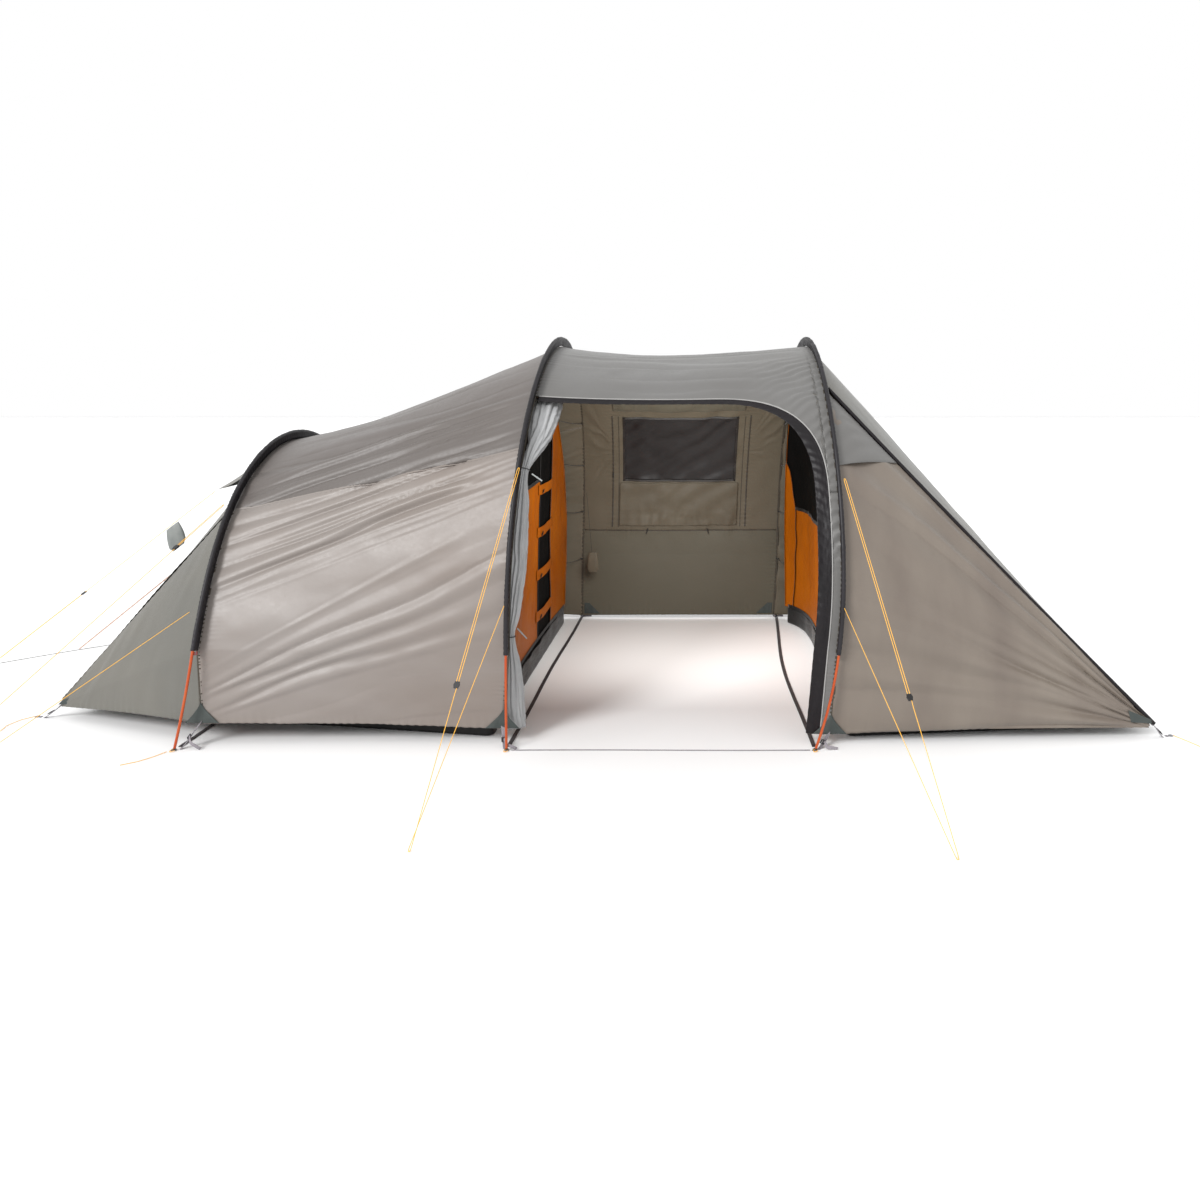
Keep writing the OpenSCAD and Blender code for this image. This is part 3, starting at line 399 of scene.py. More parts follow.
def smooth_path(points, n=8):
    """Catmull-Rom curve through the points."""
    p = [np.asarray(q, float) for q in points]
    p = [2 * p[0] - p[1]] + p + [2 * p[-1] - p[-2]]
    out = []
    for a, b, c, d in zip(p, p[1:], p[2:], p[3:]):
        for k in range(n):
            t = k / n
            out.append(0.5 * (2 * b + (c - a) * t + (2 * a - 5 * b + 4 * c - d) * t * t
                              + (3 * b - a - 3 * c + d) * t ** 3))
    return out + [p[-2]]


def joined(name, parts):
    """Several mesh objects made into one."""
    bpy.ops.object.select_all(action="DESELECT")
    for o in parts:
        o.select_set(True)
    bpy.context.view_layer.objects.active = parts[0]
    bpy.ops.object.join()
    parts[0].name = name
    parts[0].data.name = name
    return parts[0]


def place(obj, nodes, body="root"):
    if nodes:
        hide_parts(*nodes)
    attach(obj, body)
    return obj


# ---------------------------------------------------------------- materials

SLOT = {}


def strap(name, points, width, thick, wide, mat, nodes=()):
    return place(strap_mesh(name, points, width, thick, wide, SLOT[mat]), nodes)


def tube(name, points, radii, mat, sides, nodes=()):
    return place(tube_mesh(name, points, radii, SLOT[mat], sides), nodes)


def blank(name):
    SLOT[name] = m = bpy.data.materials.new(name)
    m.use_nodes = True
    return m


def add(m, kind, values=(), wires=()):
    """A shader node with these constant inputs and these outputs of others wired to it."""
    node = m.node_tree.nodes.new("ShaderNode" + kind)
    for key, value in dict(values).items():
        node.inputs[key].default_value = value
    for key, output in dict(wires).items():
        m.node_tree.links.new(output, node.inputs[key])
    return node


def ramp(m, factor, stops):
    r = add(m, "ValToRGB", {}, {"Fac": factor})
    for e, (at, c) in zip(r.color_ramp.elements, stops):
        e.position, e.color = at, (*c, 1)
    return r.outputs["Color"]


def gloss(m, factor, low, high):
    return add(m, "MapRange", {"To Min": low, "To Max": high}, {"Value": factor}).outputs["Result"]


def finish(m, tone, height, strength, depth, values, wires=()):
    """Sets the surface from its colour, bump height, constants and other outputs."""
    surface = m.node_tree.nodes["Principled BSDF"]
    bump = add(m, "Bump", {"Strength": strength, "Distance": depth}, {"Height": height})
    for key, output in {"Base Color": tone, "Normal": bump.outputs["Normal"], **dict(wires)}.items():
        m.node_tree.links.new(output, surface.inputs[key])
    for key, value in values.items():
        surface.inputs[key].default_value = value


def srgb(*c):
    return tuple((x / 255 / 12.92) if x / 255 < 0.04045 else ((x / 255 + 0.055) / 1.055) ** 2.4 for x in c)


def fabric(name, dark, light, rough=0.55, specular=0.4, sheen=0.15, grid=0.005, weave=0.0012, depth=0.00012,
           blotch=0.5, stretch=(1, 1, 1)):
    """Coated cloth: blotchy colour between two tones, fine threads and a ripstop grid from the UVs in metres."""
    m = blank(name)
    where = add(m, "TexCoord").outputs
    spread = add(m, "Mapping", {"Scale": stretch}, {"Vector": where["Object"]}).outputs["Vector"]
    cloud = add(m, "TexNoise", {"Scale": 1 / blotch, "Detail": 5}, {"Vector": spread}).outputs["Fac"]
    total = {}
    for size, weight in ((grid, 1.0), (weave, 0.5)):
        for axis in "XY" if size else "":
            wave = add(m, "TexWave", {"Scale": 2 * PI / (20 * size)}, {"Vector": where["UV"]})
            wave.bands_direction = axis
            part = add(m, "Math", {1: weight, 2: 0}, {0: wave.outputs["Fac"], **total})
            part.operation = "MULTIPLY_ADD"
            total = {2: part.outputs[0]}
    fine = add(m, "TexNoise", {"Scale": 60}, {"Vector": where["Object"]}).outputs["Fac"]
    finish(m, ramp(m, cloud, [(0.3, dark), (0.7, light)]), total[2], 0.6, depth,
           {"Specular IOR Level": specular, "Sheen Weight": sheen, "Sheen Roughness": 0.4},
           {"Roughness": gloss(m, fine, rough - 0.08, rough + 0.08)})


def hard(name, dark, light, rough=0.4, metallic=0.0, grain=0.004, depth=0.00005, coat=0.0):
    """Moulded or drawn stuff: faint tone changes, fine grain and worn, uneven gloss."""
    m = blank(name)
    where = {"Vector": add(m, "TexCoord").outputs["Object"]}
    cloud = add(m, "TexNoise", {"Scale": 1 / (grain * 20), "Detail": 6}, where).outputs["Fac"]
    fine = add(m, "TexNoise", {"Scale": 1 / grain, "Detail": 3}, where).outputs["Fac"]
    finish(m, ramp(m, cloud, [(0.35, dark), (0.65, light)]), fine, 0.5, depth,
           {"Metallic": metallic, "Coat Weight": coat}, {"Roughness": gloss(m, cloud, rough - 0.08, rough + 0.1)})


def braid(name, dark, light, pitch=0.003):
    """Braided line or elastic: slanting strands that repeat along its length."""
    m = blank(name)
    where = {"Vector": add(m, "TexCoord").outputs["Object"]}
    wave = add(m, "TexWave", {"Scale": 2 * PI / (20 * pitch)}, where)
    wave.bands_direction = "DIAGONAL"
    wave = wave.outputs["Fac"]
    finish(m, ramp(m, wave, [(0.2, dark), (0.8, light)]), wave, 0.7, 0.0004,
           {"Roughness": 0.7, "Sheen Weight": 0.2})


def make_materials():
    shade = lambda k: (lambda *c: tuple(k * x for x in srgb(*c)))
    out, ins, glow, bright = shade(0.50), shade(0.42), shade(0.48), shade(0.95)
    fabric("fly", out(163, 150, 141), out(178, 169, 163), rough=0.40, specular=0.5, sheen=0.1, blotch=0.7,
           stretch=(0.7, 1, 1.6))
    # The main roof: the same fly cloth made darker, painted shade where the roof gets less light
    fabric("fly_top_painted_shade", out(124, 116, 111), out(136, 129, 125), rough=0.42, specular=0.45, sheen=0.05, blotch=0.6,
           stretch=(0.7, 1, 1.6))
    # The centre roof, far wall and right hoods: the same fly cloth made darker and greyer, painted shade
    fabric("fly_roof_painted_shade", out(134, 132, 129), out(146, 145, 143), rough=0.40, specular=0.5, sheen=0.1, blotch=0.6)
    # The end panels and the left hood: the same fly cloth made darker, painted shade on ends that face away from the
    # key light
    fabric("fly_end_painted_shade", out(126, 125, 118), out(140, 136, 126), rough=0.42, specular=0.45, sheen=0.1, blotch=0.6)
    # The right side panels: the same fly cloth made darker, warm in tone; the darkness is painted shade
    fabric("fly_warm_painted_shade", out(144, 131, 120), out(163, 151, 138), rough=0.40, specular=0.5, sheen=0.1, blotch=0.4,
           stretch=(1.6, 1, 0.5))
    # The inner faces of the fly, and below them the lower far wall's: the brownish tone is partly the coating's own,
    # partly a painted warm cast of light shining through the cloth
    fabric("fly_in_coat_and_backlight", ins(128, 118, 98), ins(142, 131, 111), rough=0.55, specular=0.3, sheen=0.05)
    fabric("fly_low_coat_and_backlight", ins(124, 118, 100), ins(132, 126, 108), rough=0.55, specular=0.3, sheen=0.05, blotch=0.8)
    fabric("hood_under", ins(70, 72, 68), ins(92, 92, 86), rough=0.6, specular=0.2)
    fabric("sleeve", out(29, 26, 31), out(42, 38, 44), rough=0.5, specular=0.4, sheen=0.0, grid=None, weave=0.002,
           depth=0.00004, blotch=0.1)
    fabric("flap", out(22, 17, 21), out(31, 24, 29), rough=0.45, specular=0.3, sheen=0.0, blotch=0.2)
    fabric("patch", out(78, 86, 84), out(94, 101, 98), rough=0.6, specular=0.3, grid=0.003, blotch=0.08)
    fabric("pane", ins(48, 44, 44), ins(52, 48, 48), rough=0.34, specular=0.4, sheen=0, grid=None, weave=0.004,
           depth=0.000004)
    fabric("curtain", ins(126, 116, 98), ins(138, 128, 108), rough=0.55, specular=0.3, sheen=0.05, blotch=0.3)
    fabric("piping", ins(44, 38, 34), ins(60, 52, 46), rough=0.55, grid=None, blotch=0.05)
    fabric("seam_brown", ins(86, 76, 62), ins(100, 90, 74), rough=0.55, grid=None, blotch=0.05)
    # Light grey for the stitches, which are real thread, and for the storm flap's edge tube, which is partly piping and
    # partly a painted highlight along the edge
    fabric("light_thread_and_highlight", out(196, 194, 192), out(210, 208, 205), rough=0.45, grid=None, blotch=0.05)
    fabric("inner", glow(208, 106, 3), glow(228, 124, 8), rough=0.5, specular=0.15, sheen=0.0, blotch=0.35)
    fabric("mesh", ins(10, 9, 8), ins(17, 15, 14), rough=0.8, specular=0.1, sheen=0.0, grid=0.0022, weave=None,
           depth=0.0005, blotch=0.2)
    fabric("tape", ins(22, 20, 20), ins(32, 29, 29), rough=0.6, specular=0.2, grid=None, weave=0.002, depth=0.0003)
    fabric("floor", out(24, 23, 23), out(38, 36, 36), rough=0.5, specular=0.3, blotch=0.2)
    for name, dark, light, rough in (("webbing", (170, 163, 172), (188, 181, 188), 0.6),
                                     ("dark_webbing", (52, 46, 50), (70, 62, 66), 0.6),
                                     ("red_webbing", (226, 40, 48), (244, 66, 70), 0.55)):
        fabric(name, out(*dark), out(*light), rough, grid=0.004, weave=0.0015, depth=0.0004, blotch=0.05)
    fabric("door", out(200, 201, 202), out(224, 225, 226), rough=0.24, specular=0.6, sheen=0.05, blotch=0.25)
    fabric("pouch", out(150, 156, 154), out(178, 182, 178), rough=0.35, specular=0.5, grid=0.004, blotch=0.06)
    hard("pole", out(244, 96, 30), out(255, 116, 46), rough=0.32, metallic=0.45, coat=0.3)
    hard("metal", out(190, 190, 194), out(215, 215, 219), rough=0.35, metallic=1.0)
    hard("plastic", out(28, 28, 30), out(42, 42, 44), rough=0.45)
    hard("toggle", out(200, 205, 204), out(222, 226, 224), rough=0.4)
    hard("zip", ins(70, 62, 52), ins(88, 78, 66), rough=0.5, grain=0.002, depth=0.0003)
    braid("elastic", out(22, 22, 23), out(46, 46, 48))
    braid("line", bright(240, 160, 30), bright(255, 205, 80))
    braid("line_brown", bright(150, 96, 56), bright(190, 130, 84))
    braid("line_black", out(20, 20, 21), out(50, 50, 52))


make_materials()

# ---------------------------------------------------------------- relief of the cloth


def smooth(x, a, b):
    t = np.clip((x - a) / (b - a), 0, 1)
    return t * t * (3 - 2 * t)


def fan(u, c, left, right, count, depth, seed, sharp=1.6, wander=0.35, full=0.0):
    """Folds that fan from the heights left[0]..left[1] at u = 0 to right[0]..right[1] at u = 1."""
    a, b = left[0] + (right[0] - left[0]) * u, left[1] + (right[1] - left[1]) * u
    f = (c - a) / (b - a)
    g = f * count + wander * noise(u * 3, f * count, 1.0, seed) + 100
    k = np.floor(g).astype(int)
    t = g - k
    rng = np.random.default_rng(seed)
    amp, skew = rng.uniform(0.3, 1, 256), rng.uniform(0.55, 1.7, 256)
    start, run = rng.uniform(-0.2, 0.35, 256) - 0.35 * full, rng.uniform(0.6, 1.2, 256) + 0.5 * full
    k = k % 256
    shape = np.sin(PI * t ** skew[k]) ** sharp - 0.42
    reach = smooth(u, start[k], start[k] + 0.25) * (1 - smooth(u, start[k] + run[k] - 0.2, start[k] + run[k]))
    edge = smooth(f, 0, 0.12) * (1 - smooth(f, 0.88, 1))
    return -depth * shape * amp[k] * edge * reach


def pucker(along, away, pitch, reach, depth, seed):
    """Short gathers across a seam: they die out away from it."""
    wob = noise(along, 0 * along, pitch * 2.5, seed)
    size = 0.55 + 0.45 * noise(along, 0 * along + 3, pitch * 4, seed + 1)
    long = reach * (0.8 + 0.5 * noise(along, 0 * along + 7, pitch * 1.5, seed + 2))
    return depth * size * np.sin(2 * PI * along / pitch + 2.4 * wob) * np.exp(-np.abs(away) / long)


def relief(i, u, v, p):
    """How far the cloth lies inside the smooth surface, for every point of the fly."""
    x, y, z = p[..., 0], p[..., 1], p[..., 2]
    near = smooth(-y, -0.25, 0.35)
    far = 1 - near
    run, wide = v * V_SCALE, u * U_SCALE
    tie = np.sin(PI * np.clip(u, 0, 1)) ** 0.35
    calm = 1 - 0.75 * smooth(v, SEAM_V, SEAM_V + 0.02) if i == 1 else 1
    r = 0.006 * noise(x * 0.8, z * 1.6 + y, 0.30, 11 + i) * tie * calm
    r = r + 0.002 * noise(x, run, 0.09, 21 + i) * tie * calm
    if i == 0:
        r = r + near * tie * (
            fan(u, z, (0.66, 1.32), (1.26, 1.80), 8, 0.032, 5, 1.7, 0.3, 1)
            + fan(u, z, (0.60, 1.25), (1.20, 1.78), 15, 0.010, 6, 1.6, 0.4, 0.6)
            + fan(u, z, (0.10, 0.36), (0.55, 1.22), 5, 0.018, 8, 2.0, 0.3, 0.8)
            + fan(u, z, (-0.1, 0.14), (0.05, 0.60), 3, 0.006, 9))
        r = r + far * tie * (
            fan(u, z, (0.35, 1.02), (0.95, 1.70), 8, 0.015, 35)
            + fan(u, z, (0.05, 0.8), (0.25, 1.2), 7, 0.011, 38, 2.0))
        r = r + tie * fan(u, run, (2.0, 3.9), (1.75, 4.1), 11, 0.010, 15, 1.4)
        for seam in (MAIN_SEAM_V, 1 - MAIN_SEAM_V):
            r = r + pucker(wide, run - seam * V_SCALE, 0.034, 0.05, 0.0028, 51)
            r = r + 0.006 * np.exp(-((run - seam * V_SCALE) / 0.03) ** 2) * tie
    else:
        r = r + tie * fan(u, run, (2.0, 2.9), (1.9, 2.9), 7, 0.006, 61, 1.3)
        r = r + tie * fan(u, run, (2.9, 3.9), (2.8, 3.9), 7, 0.006, 62, 1.3)
        arch = smooth(u, 0.70, 0.92) * (1 - smooth(v, 0.38, 0.44)) * smooth(v, 0.16, 0.22) * near
        r = r + arch * 0.0035 * np.sin(2 * PI * (run - 0.5 * wide) / 0.065 + 3 * noise(run, wide, 0.15, 66))
        low = smooth(y, 0.2, 0.7)
        r = r + low * fan(u / 0.15, z, (0.85, 1.80), (1.20, 1.36), 6, 0.010, 68, 1.5) * (u < 0.15)
        r = r + low * fan((u - 0.83) / 0.17, z, (1.22, 1.38), (1.05, 1.85), 6, 0.009, 69, 1.5) * (u > 0.83)
        pane = low * smooth(u, 0.17, 0.22) * (1 - smooth(u, 0.76, 0.81))
        pane = pane * smooth(v, 0.68, 0.70) * (1 - smooth(v, 0.85, 0.87))
        r = r + pane * (0.0035 * np.sin(2 * PI * (wide * 0.6 + run) / 0.17 + 2.5 * noise(wide, run, 0.3, 75))
                        + 0.003 * noise(wide - run, 0.5 * (wide + run), 0.10, 76))
        wall = smooth(v, WALL_V, WALL_V + 0.03) * (1 - smooth(v, SEAM_V - 0.01, SEAM_V + 0.02))
        r = r + tie * low * wall * (0.0035 * noise(wide, run * 0.25, 0.09, 63)
                                    + 0.003 * noise(wide * 0.6, run, 0.10, 64))
        for at in (0.15, 0.83):
            r = r + wall * pucker(run, wide - at * U_SCALE, 0.034, 0.05, 0.0028, 65)
        r = r + low * pucker(wide, run - SEAM_V * V_SCALE, 0.028, 0.03, 0.0018, 67)
    for edge, k in ((wide, 0), (U_SCALE - wide, 1)):
        r = r + pucker(run, edge, 0.030, 0.045, 0.0030, 71 + 3 * k + 7 * i)
    r = r + pucker(wide, run, 0.045, 0.06, 0.003, 91 + i) + pucker(wide, V_SCALE - run, 0.045, 0.06, 0.003, 95 + i)
    return r


def fly_cloth(i, u, v):
    p = fly(i, u, v)
    return p + inward(p) * relief(i, u, v, p)[..., None]


def fly_grid(i, us, vs):
    u, v = np.meshgrid(us, vs)
    return fly_cloth(i, u, v)


def cell_area(g, keep=None):
    a = np.linalg.norm(np.cross(g[1:, 1:] - g[:-1, :-1], g[1:, :-1] - g[:-1, 1:]), axis=-1) / 2
    return float(a.sum() if keep is None else a[keep].sum())


def declare_sheet(obj, g, keep=None):
    """States the cut that a grid of cloth came from: its longest row and column, and its flat area."""
    uv = grid_uv(g)
    wide, tall = float(uv[:, -1, 0].max()), float(uv[-1, :, 1].max())
    area = cell_area(g, keep)
    SIZES.append((obj.name, round(wide, 2), round(tall, 2), round(area, 2)))


SIZES = []
EDGE_U, EDGE_V = 0.0005, 0.00008


def panel(name, g, mats, nodes, keep=None, thick=0.0009, outside=1):
    obj = cloth(name, g, [SLOT[m] for m in mats], thick, keep, outside)
    place(obj, nodes)
    declare_sheet(obj, g, keep)
    return obj


def lin(a, b, n):
    return np.linspace(a, b, n + 1)


def make_fly():
    us = lin(EDGE_U, 1 - EDGE_U, 150)
    # inner faces take the brownish inner tone: partly the coating's own, partly painted light shining through the cloth
    both = ["fly", "fly_in_coat_and_backlight"]
    near = fly_grid(0, us, lin(0, MAIN_SEAM_V - EDGE_V, 160))
    panel("main_near_cloth", near, both, ["main_near_panel"], outside=OUT)
    # the main roof takes the darker copy of the fly cloth: painted shade
    roof = fly_grid(0, us, lin(MAIN_SEAM_V + EDGE_V, 1 - MAIN_SEAM_V - EDGE_V, 250))
    panel("main_roof_cloth", roof, ["fly_top_painted_shade", "fly_in_coat_and_backlight"], ["main_roof"], outside=OUT)
    far = fly_grid(0, lin(EDGE_U, 1 - EDGE_U, 120), lin(1 - MAIN_SEAM_V + EDGE_V, 1, 120))
    panel("main_far_cloth", far, both, ["main_far_panel"], outside=OUT)

    us = np.concatenate([lin(EDGE_U, DOOR_U - 0.1, 100), lin(DOOR_U - 0.095, DOOR_U, 30),
                         lin(DOOR_U + 0.003, 1 - EDGE_U, 10)])
    edge = door_edge(us)
    w = lin(0, 1, 200)[:, None]
    g = fly_cloth(1, np.broadcast_to(us, (201, len(us))), edge + (WALL_V - EDGE_V - edge) * w)
    # the centre roof takes the darker, greyer copy of the fly cloth: painted shade
    panel("centre_roof_cloth", g, ["fly_roof_painted_shade", "fly_in_coat_and_backlight"], ["centre_roof"], outside=OUT)
    g = fly_grid(1, lin(DOOR_U + 0.0005, 1 - EDGE_U, 8), lin(0, DOOR_CORNER_V - EDGE_V, 140))
    panel("door_side_strip", g, ["fly_roof_painted_shade", "fly_in_coat_and_backlight"], [], outside=OUT)


def seam_strip(name, p, width, lift, mat, side=1):
    """A felled seam: a narrow doubled strip lying along the cloth."""
    n = inward(p)
    wide = np.cross(n, np.gradient(p, axis=0))
    return strap(name, p - n * lift * side, width, 0.0014, wide, mat)


def make_seams():
    for k, v in enumerate((MAIN_SEAM_V, 1 - MAIN_SEAM_V)):
        t = lin(0.004, 0.996, 120)
        seam_strip(f"main_seam_{k}", fly_cloth(0, t, 0 * t + v), 0.010, 0.0010, "fly")
    t = lin(0.004, 0.996, 120)
    seam_strip("roof_wall_seam", fly_cloth(1, t, 0 * t + WALL_V), 0.010, 0.0006, "seam_brown", -1)
    for i in range(3):
        seam_strip(f"hoop_seam_{i}", fly_at(i, lin(0.002, 0.998, 260)), 0.016, 0.0008, "seam_brown", -1)


def door_edge(u):
    t = np.clip((u - DOOR_CURVE_U) / (DOOR_U - DOOR_CURVE_U), 0, 1)
    return DOOR_CORNER_V + (DOOR_V - DOOR_CORNER_V) * (1 - t ** DOOR_POWER) ** (1 / DOOR_POWER)


OUT = -1
make_fly()
make_seams()

# ---------------------------------------------------------------- the two ends


def fly_side(i, v, y):
    return fly_at(i, np.asarray(v, float) if y < 0 else 1 - np.asarray(v, float))


def end_relief(g, seed, depth=0.006, pitch=0.035):
    """Broad waves and short puckers along the first row of an end panel's grid, in along its normal."""
    uv = grid_uv(g)
    a, b = uv[..., 0], uv[..., 1]
    tall, wide = b[-1:, :], a[:, -1:]
    tie = np.sin(PI * np.clip(b / np.maximum(tall, 1e-6), 0, 1)) ** 0.4
    r = depth * noise(a * 0.7, b * 0.35, 0.22, seed) * tie + depth * 0.4 * noise(a, b * 0.5, 0.08, seed + 1) * tie
    r = r + pucker(a, b, pitch, 0.05, 0.0025, seed + 2)
    r = r + pucker(a, tall - b, pitch * 1.2, 0.05, 0.0025, seed + 5)
    r = r + pucker(b, a, pitch, 0.04, 0.002, seed + 8) + pucker(b, wide - a, pitch, 0.04, 0.002, seed + 11)
    return g + normals(g) * r[..., None]


def side_grid(i, v_top, corner, height, n, out, y):
    w, u = np.meshgrid(lin(0, 1, n), lin(0, 0.985, n), indexing="ij")
    a = fly_side(i, v_top * (1 - w), y) + V(out * 0.0035, 0, 0)
    tip = V(corner[0], corner[1] * y, height)
    b = tip + np.stack([0 * w, 0 * w, 0.020 - 0.026 * w], -1)
    q = a + (b - a) * u[..., None]
    swell = np.sin(PI * u)
    return q + np.stack([0 * u, -y * 0.014 * swell * np.sin(PI * w), 0.009 * swell * w], -1)


def end_grid(i, v_top, corner, height, bulge, out, n):
    w, t = np.meshgrid(lin(0, 0.99, n), lin(0.004, 0.996, n), indexing="ij")
    v = v_top + (1 - 2 * v_top) * t
    a = fly_at(i, v) + V(out * 0.0035, 0, 0)
    b = np.stack([corner[0] + 0 * t, corner[1] * (2 * t - 1), height + 0.025 - 0.025 * np.sin(PI * t)], -1)
    q = a + (b - a) * w[..., None]
    s = np.sin(PI * w) * np.sin(PI * t)
    return q + np.stack([out * bulge * s, 0 * s, bulge * 0.5 * s], -1)


def make_left_end():
    # the left end's panels and hood take the darker copy of the fly cloth: painted shade
    for y, side in ((-1, "near"), (1, "far")):
        g = side_grid(0, LEFT_SEAM_V, LEFT_CORNER, 0.070, 70, -1, y)
        g = end_relief(g, 101 + y)
        panel(f"left_side_cloth_{side}", g, ["fly_end_painted_shade", "fly_in_coat_and_backlight"], ["left_side_panels"] if y < 0 else [],
              outside=y)
    g = end_relief(end_grid(0, LEFT_SEAM_V + 0.002, LEFT_CORNER, 0.070, -0.020, -1, 110), 111)
    panel("left_end_cloth", g, ["fly_end_painted_shade", "fly_in_coat_and_backlight"], ["left_end_panel"], outside=OUT)
    w, t = np.meshgrid(lin(0, 1, 30), lin(0, 1, 50), indexing="ij")
    a = fly_at(0, 0.36 + 0.28 * t) + V(-0.010, 0, 0.014)
    b = V(-2.421, 0, 1.109) + np.stack([0 * t, 0.028 * t - 0.014, 0 * t], -1)
    g = a + (b - a) * w[..., None]
    ripple = 0.004 * np.sin(2 * PI * t * 7 + 3 * w) * np.sin(PI * w)
    g = g + np.stack([0 * w, 0 * w, -0.026 * np.sin(PI * w) + ripple], -1)
    panel("left_hood_cloth", g, ["fly_end_painted_shade", "hood_under"], ["left_hood"], outside=OUT)


def make_right_end():
    for y, side in ((-1, "near"), (1, "far")):
        g = side_grid(2, RIGHT_SEAM_V, RIGHT_CORNER, 0.060, 110, 1, y)
        uv = grid_uv(g)
        u = uv[..., 0] / uv[..., -1:, 0]
        w = uv[..., 1] / np.maximum(uv[-1:, :, 1], 1e-6)
        g = g + normals(g) * (fan(u, w, (0.0, 0.9), (0.0, 1.0), 6, 0.030, 121 + y, 1.9, 0.3, 0.9)
                              + fan(u, w, (0.45, 1.1), (0.3, 1.1), 6, 0.017, 131 + y, 1.8, 0.35, 0.8))[..., None] * y
        g = end_relief(g, 141 + y, 0.004)
        # the right side panels take the darker copy of the fly cloth: painted shade
        panel(f"right_side_cloth_{side}", g, ["fly_warm_painted_shade", "fly_in_coat_and_backlight"], ["right_side_panels"] if y < 0 else [],
              outside=-y)
        w, u = np.meshgrid(lin(0, 1, 24), lin(0, 1, 24), indexing="ij")
        top = RIGHT_SEAM_V - 0.004
        off = V(0.008, 0.006 * y, 0)
        a = fly_side(2, top + (0.262 - top) * w, y) + off
        seam = fly_side(2, top, y) + off
        k = (0.02 + 0.205 * w)[..., None]
        seam = seam + (V(RIGHT_CORNER[0], RIGHT_CORNER[1] * y + 0.006 * y, 0.068) - seam) * k
        s = np.sin(PI * u)
        q = a + (seam - a) * u[..., None]
        q = q + np.stack([0.004 + 0 * u, y * (0.004 + 0.022 * s) * w, 0.014 * s * w], -1)
        gather = 0.006 * np.sin(2 * PI * (w * 5 + u * 1.2) + 2 * noise(u, w, 0.4, 171))
        gather = gather * s * (1 - 0.6 * u) * smooth(w, 0, 0.2)
        q = q + np.stack([0 * u, y * gather, 0.3 * gather], -1)
        panel(f"right_hood_cloth_{side}", q, ["fly_roof_painted_shade", "hood_under"], ["right_hoods"] if y < 0 else [],
              outside=-y)
        a = fly_side(2, RIGHT_SEAM_V, y) + V(0.018, 0.008 * y, 0.008)
        b = V(RIGHT_CORNER[0], (RIGHT_CORNER[1] + 0.006) * y, 0.074)
        t = lin(0, 1, 60)[:, None]
        path = a + (b - a) * t + V(0, 0, -1) * 0.012 * np.sin(PI * t)
        thick = 0.0105 + 0.0015 * smooth(t[:, 0], 0.85, 1) + 0.0006 * noise(t[:, 0] * 2.6, 0 * t[:, 0], 0.03, 151)
        tube(f"right_seam_{side}", path, thick, "flap", 10, ["right_seams"] if y < 0 else [])
    # the right end panel takes the darker copy of the fly cloth: painted shade
    g = end_relief(end_grid(2, RIGHT_SEAM_V + 0.003, RIGHT_CORNER, 0.060, 0.026, 1, 110), 161)
    panel("right_end_cloth", g, ["fly_end_painted_shade", "fly_in_coat_and_backlight"], ["right_end_panel"], outside=-OUT)


make_left_end()
make_right_end()

# ---------------------------------------------------------------- far wall, window, curtain and storm flap


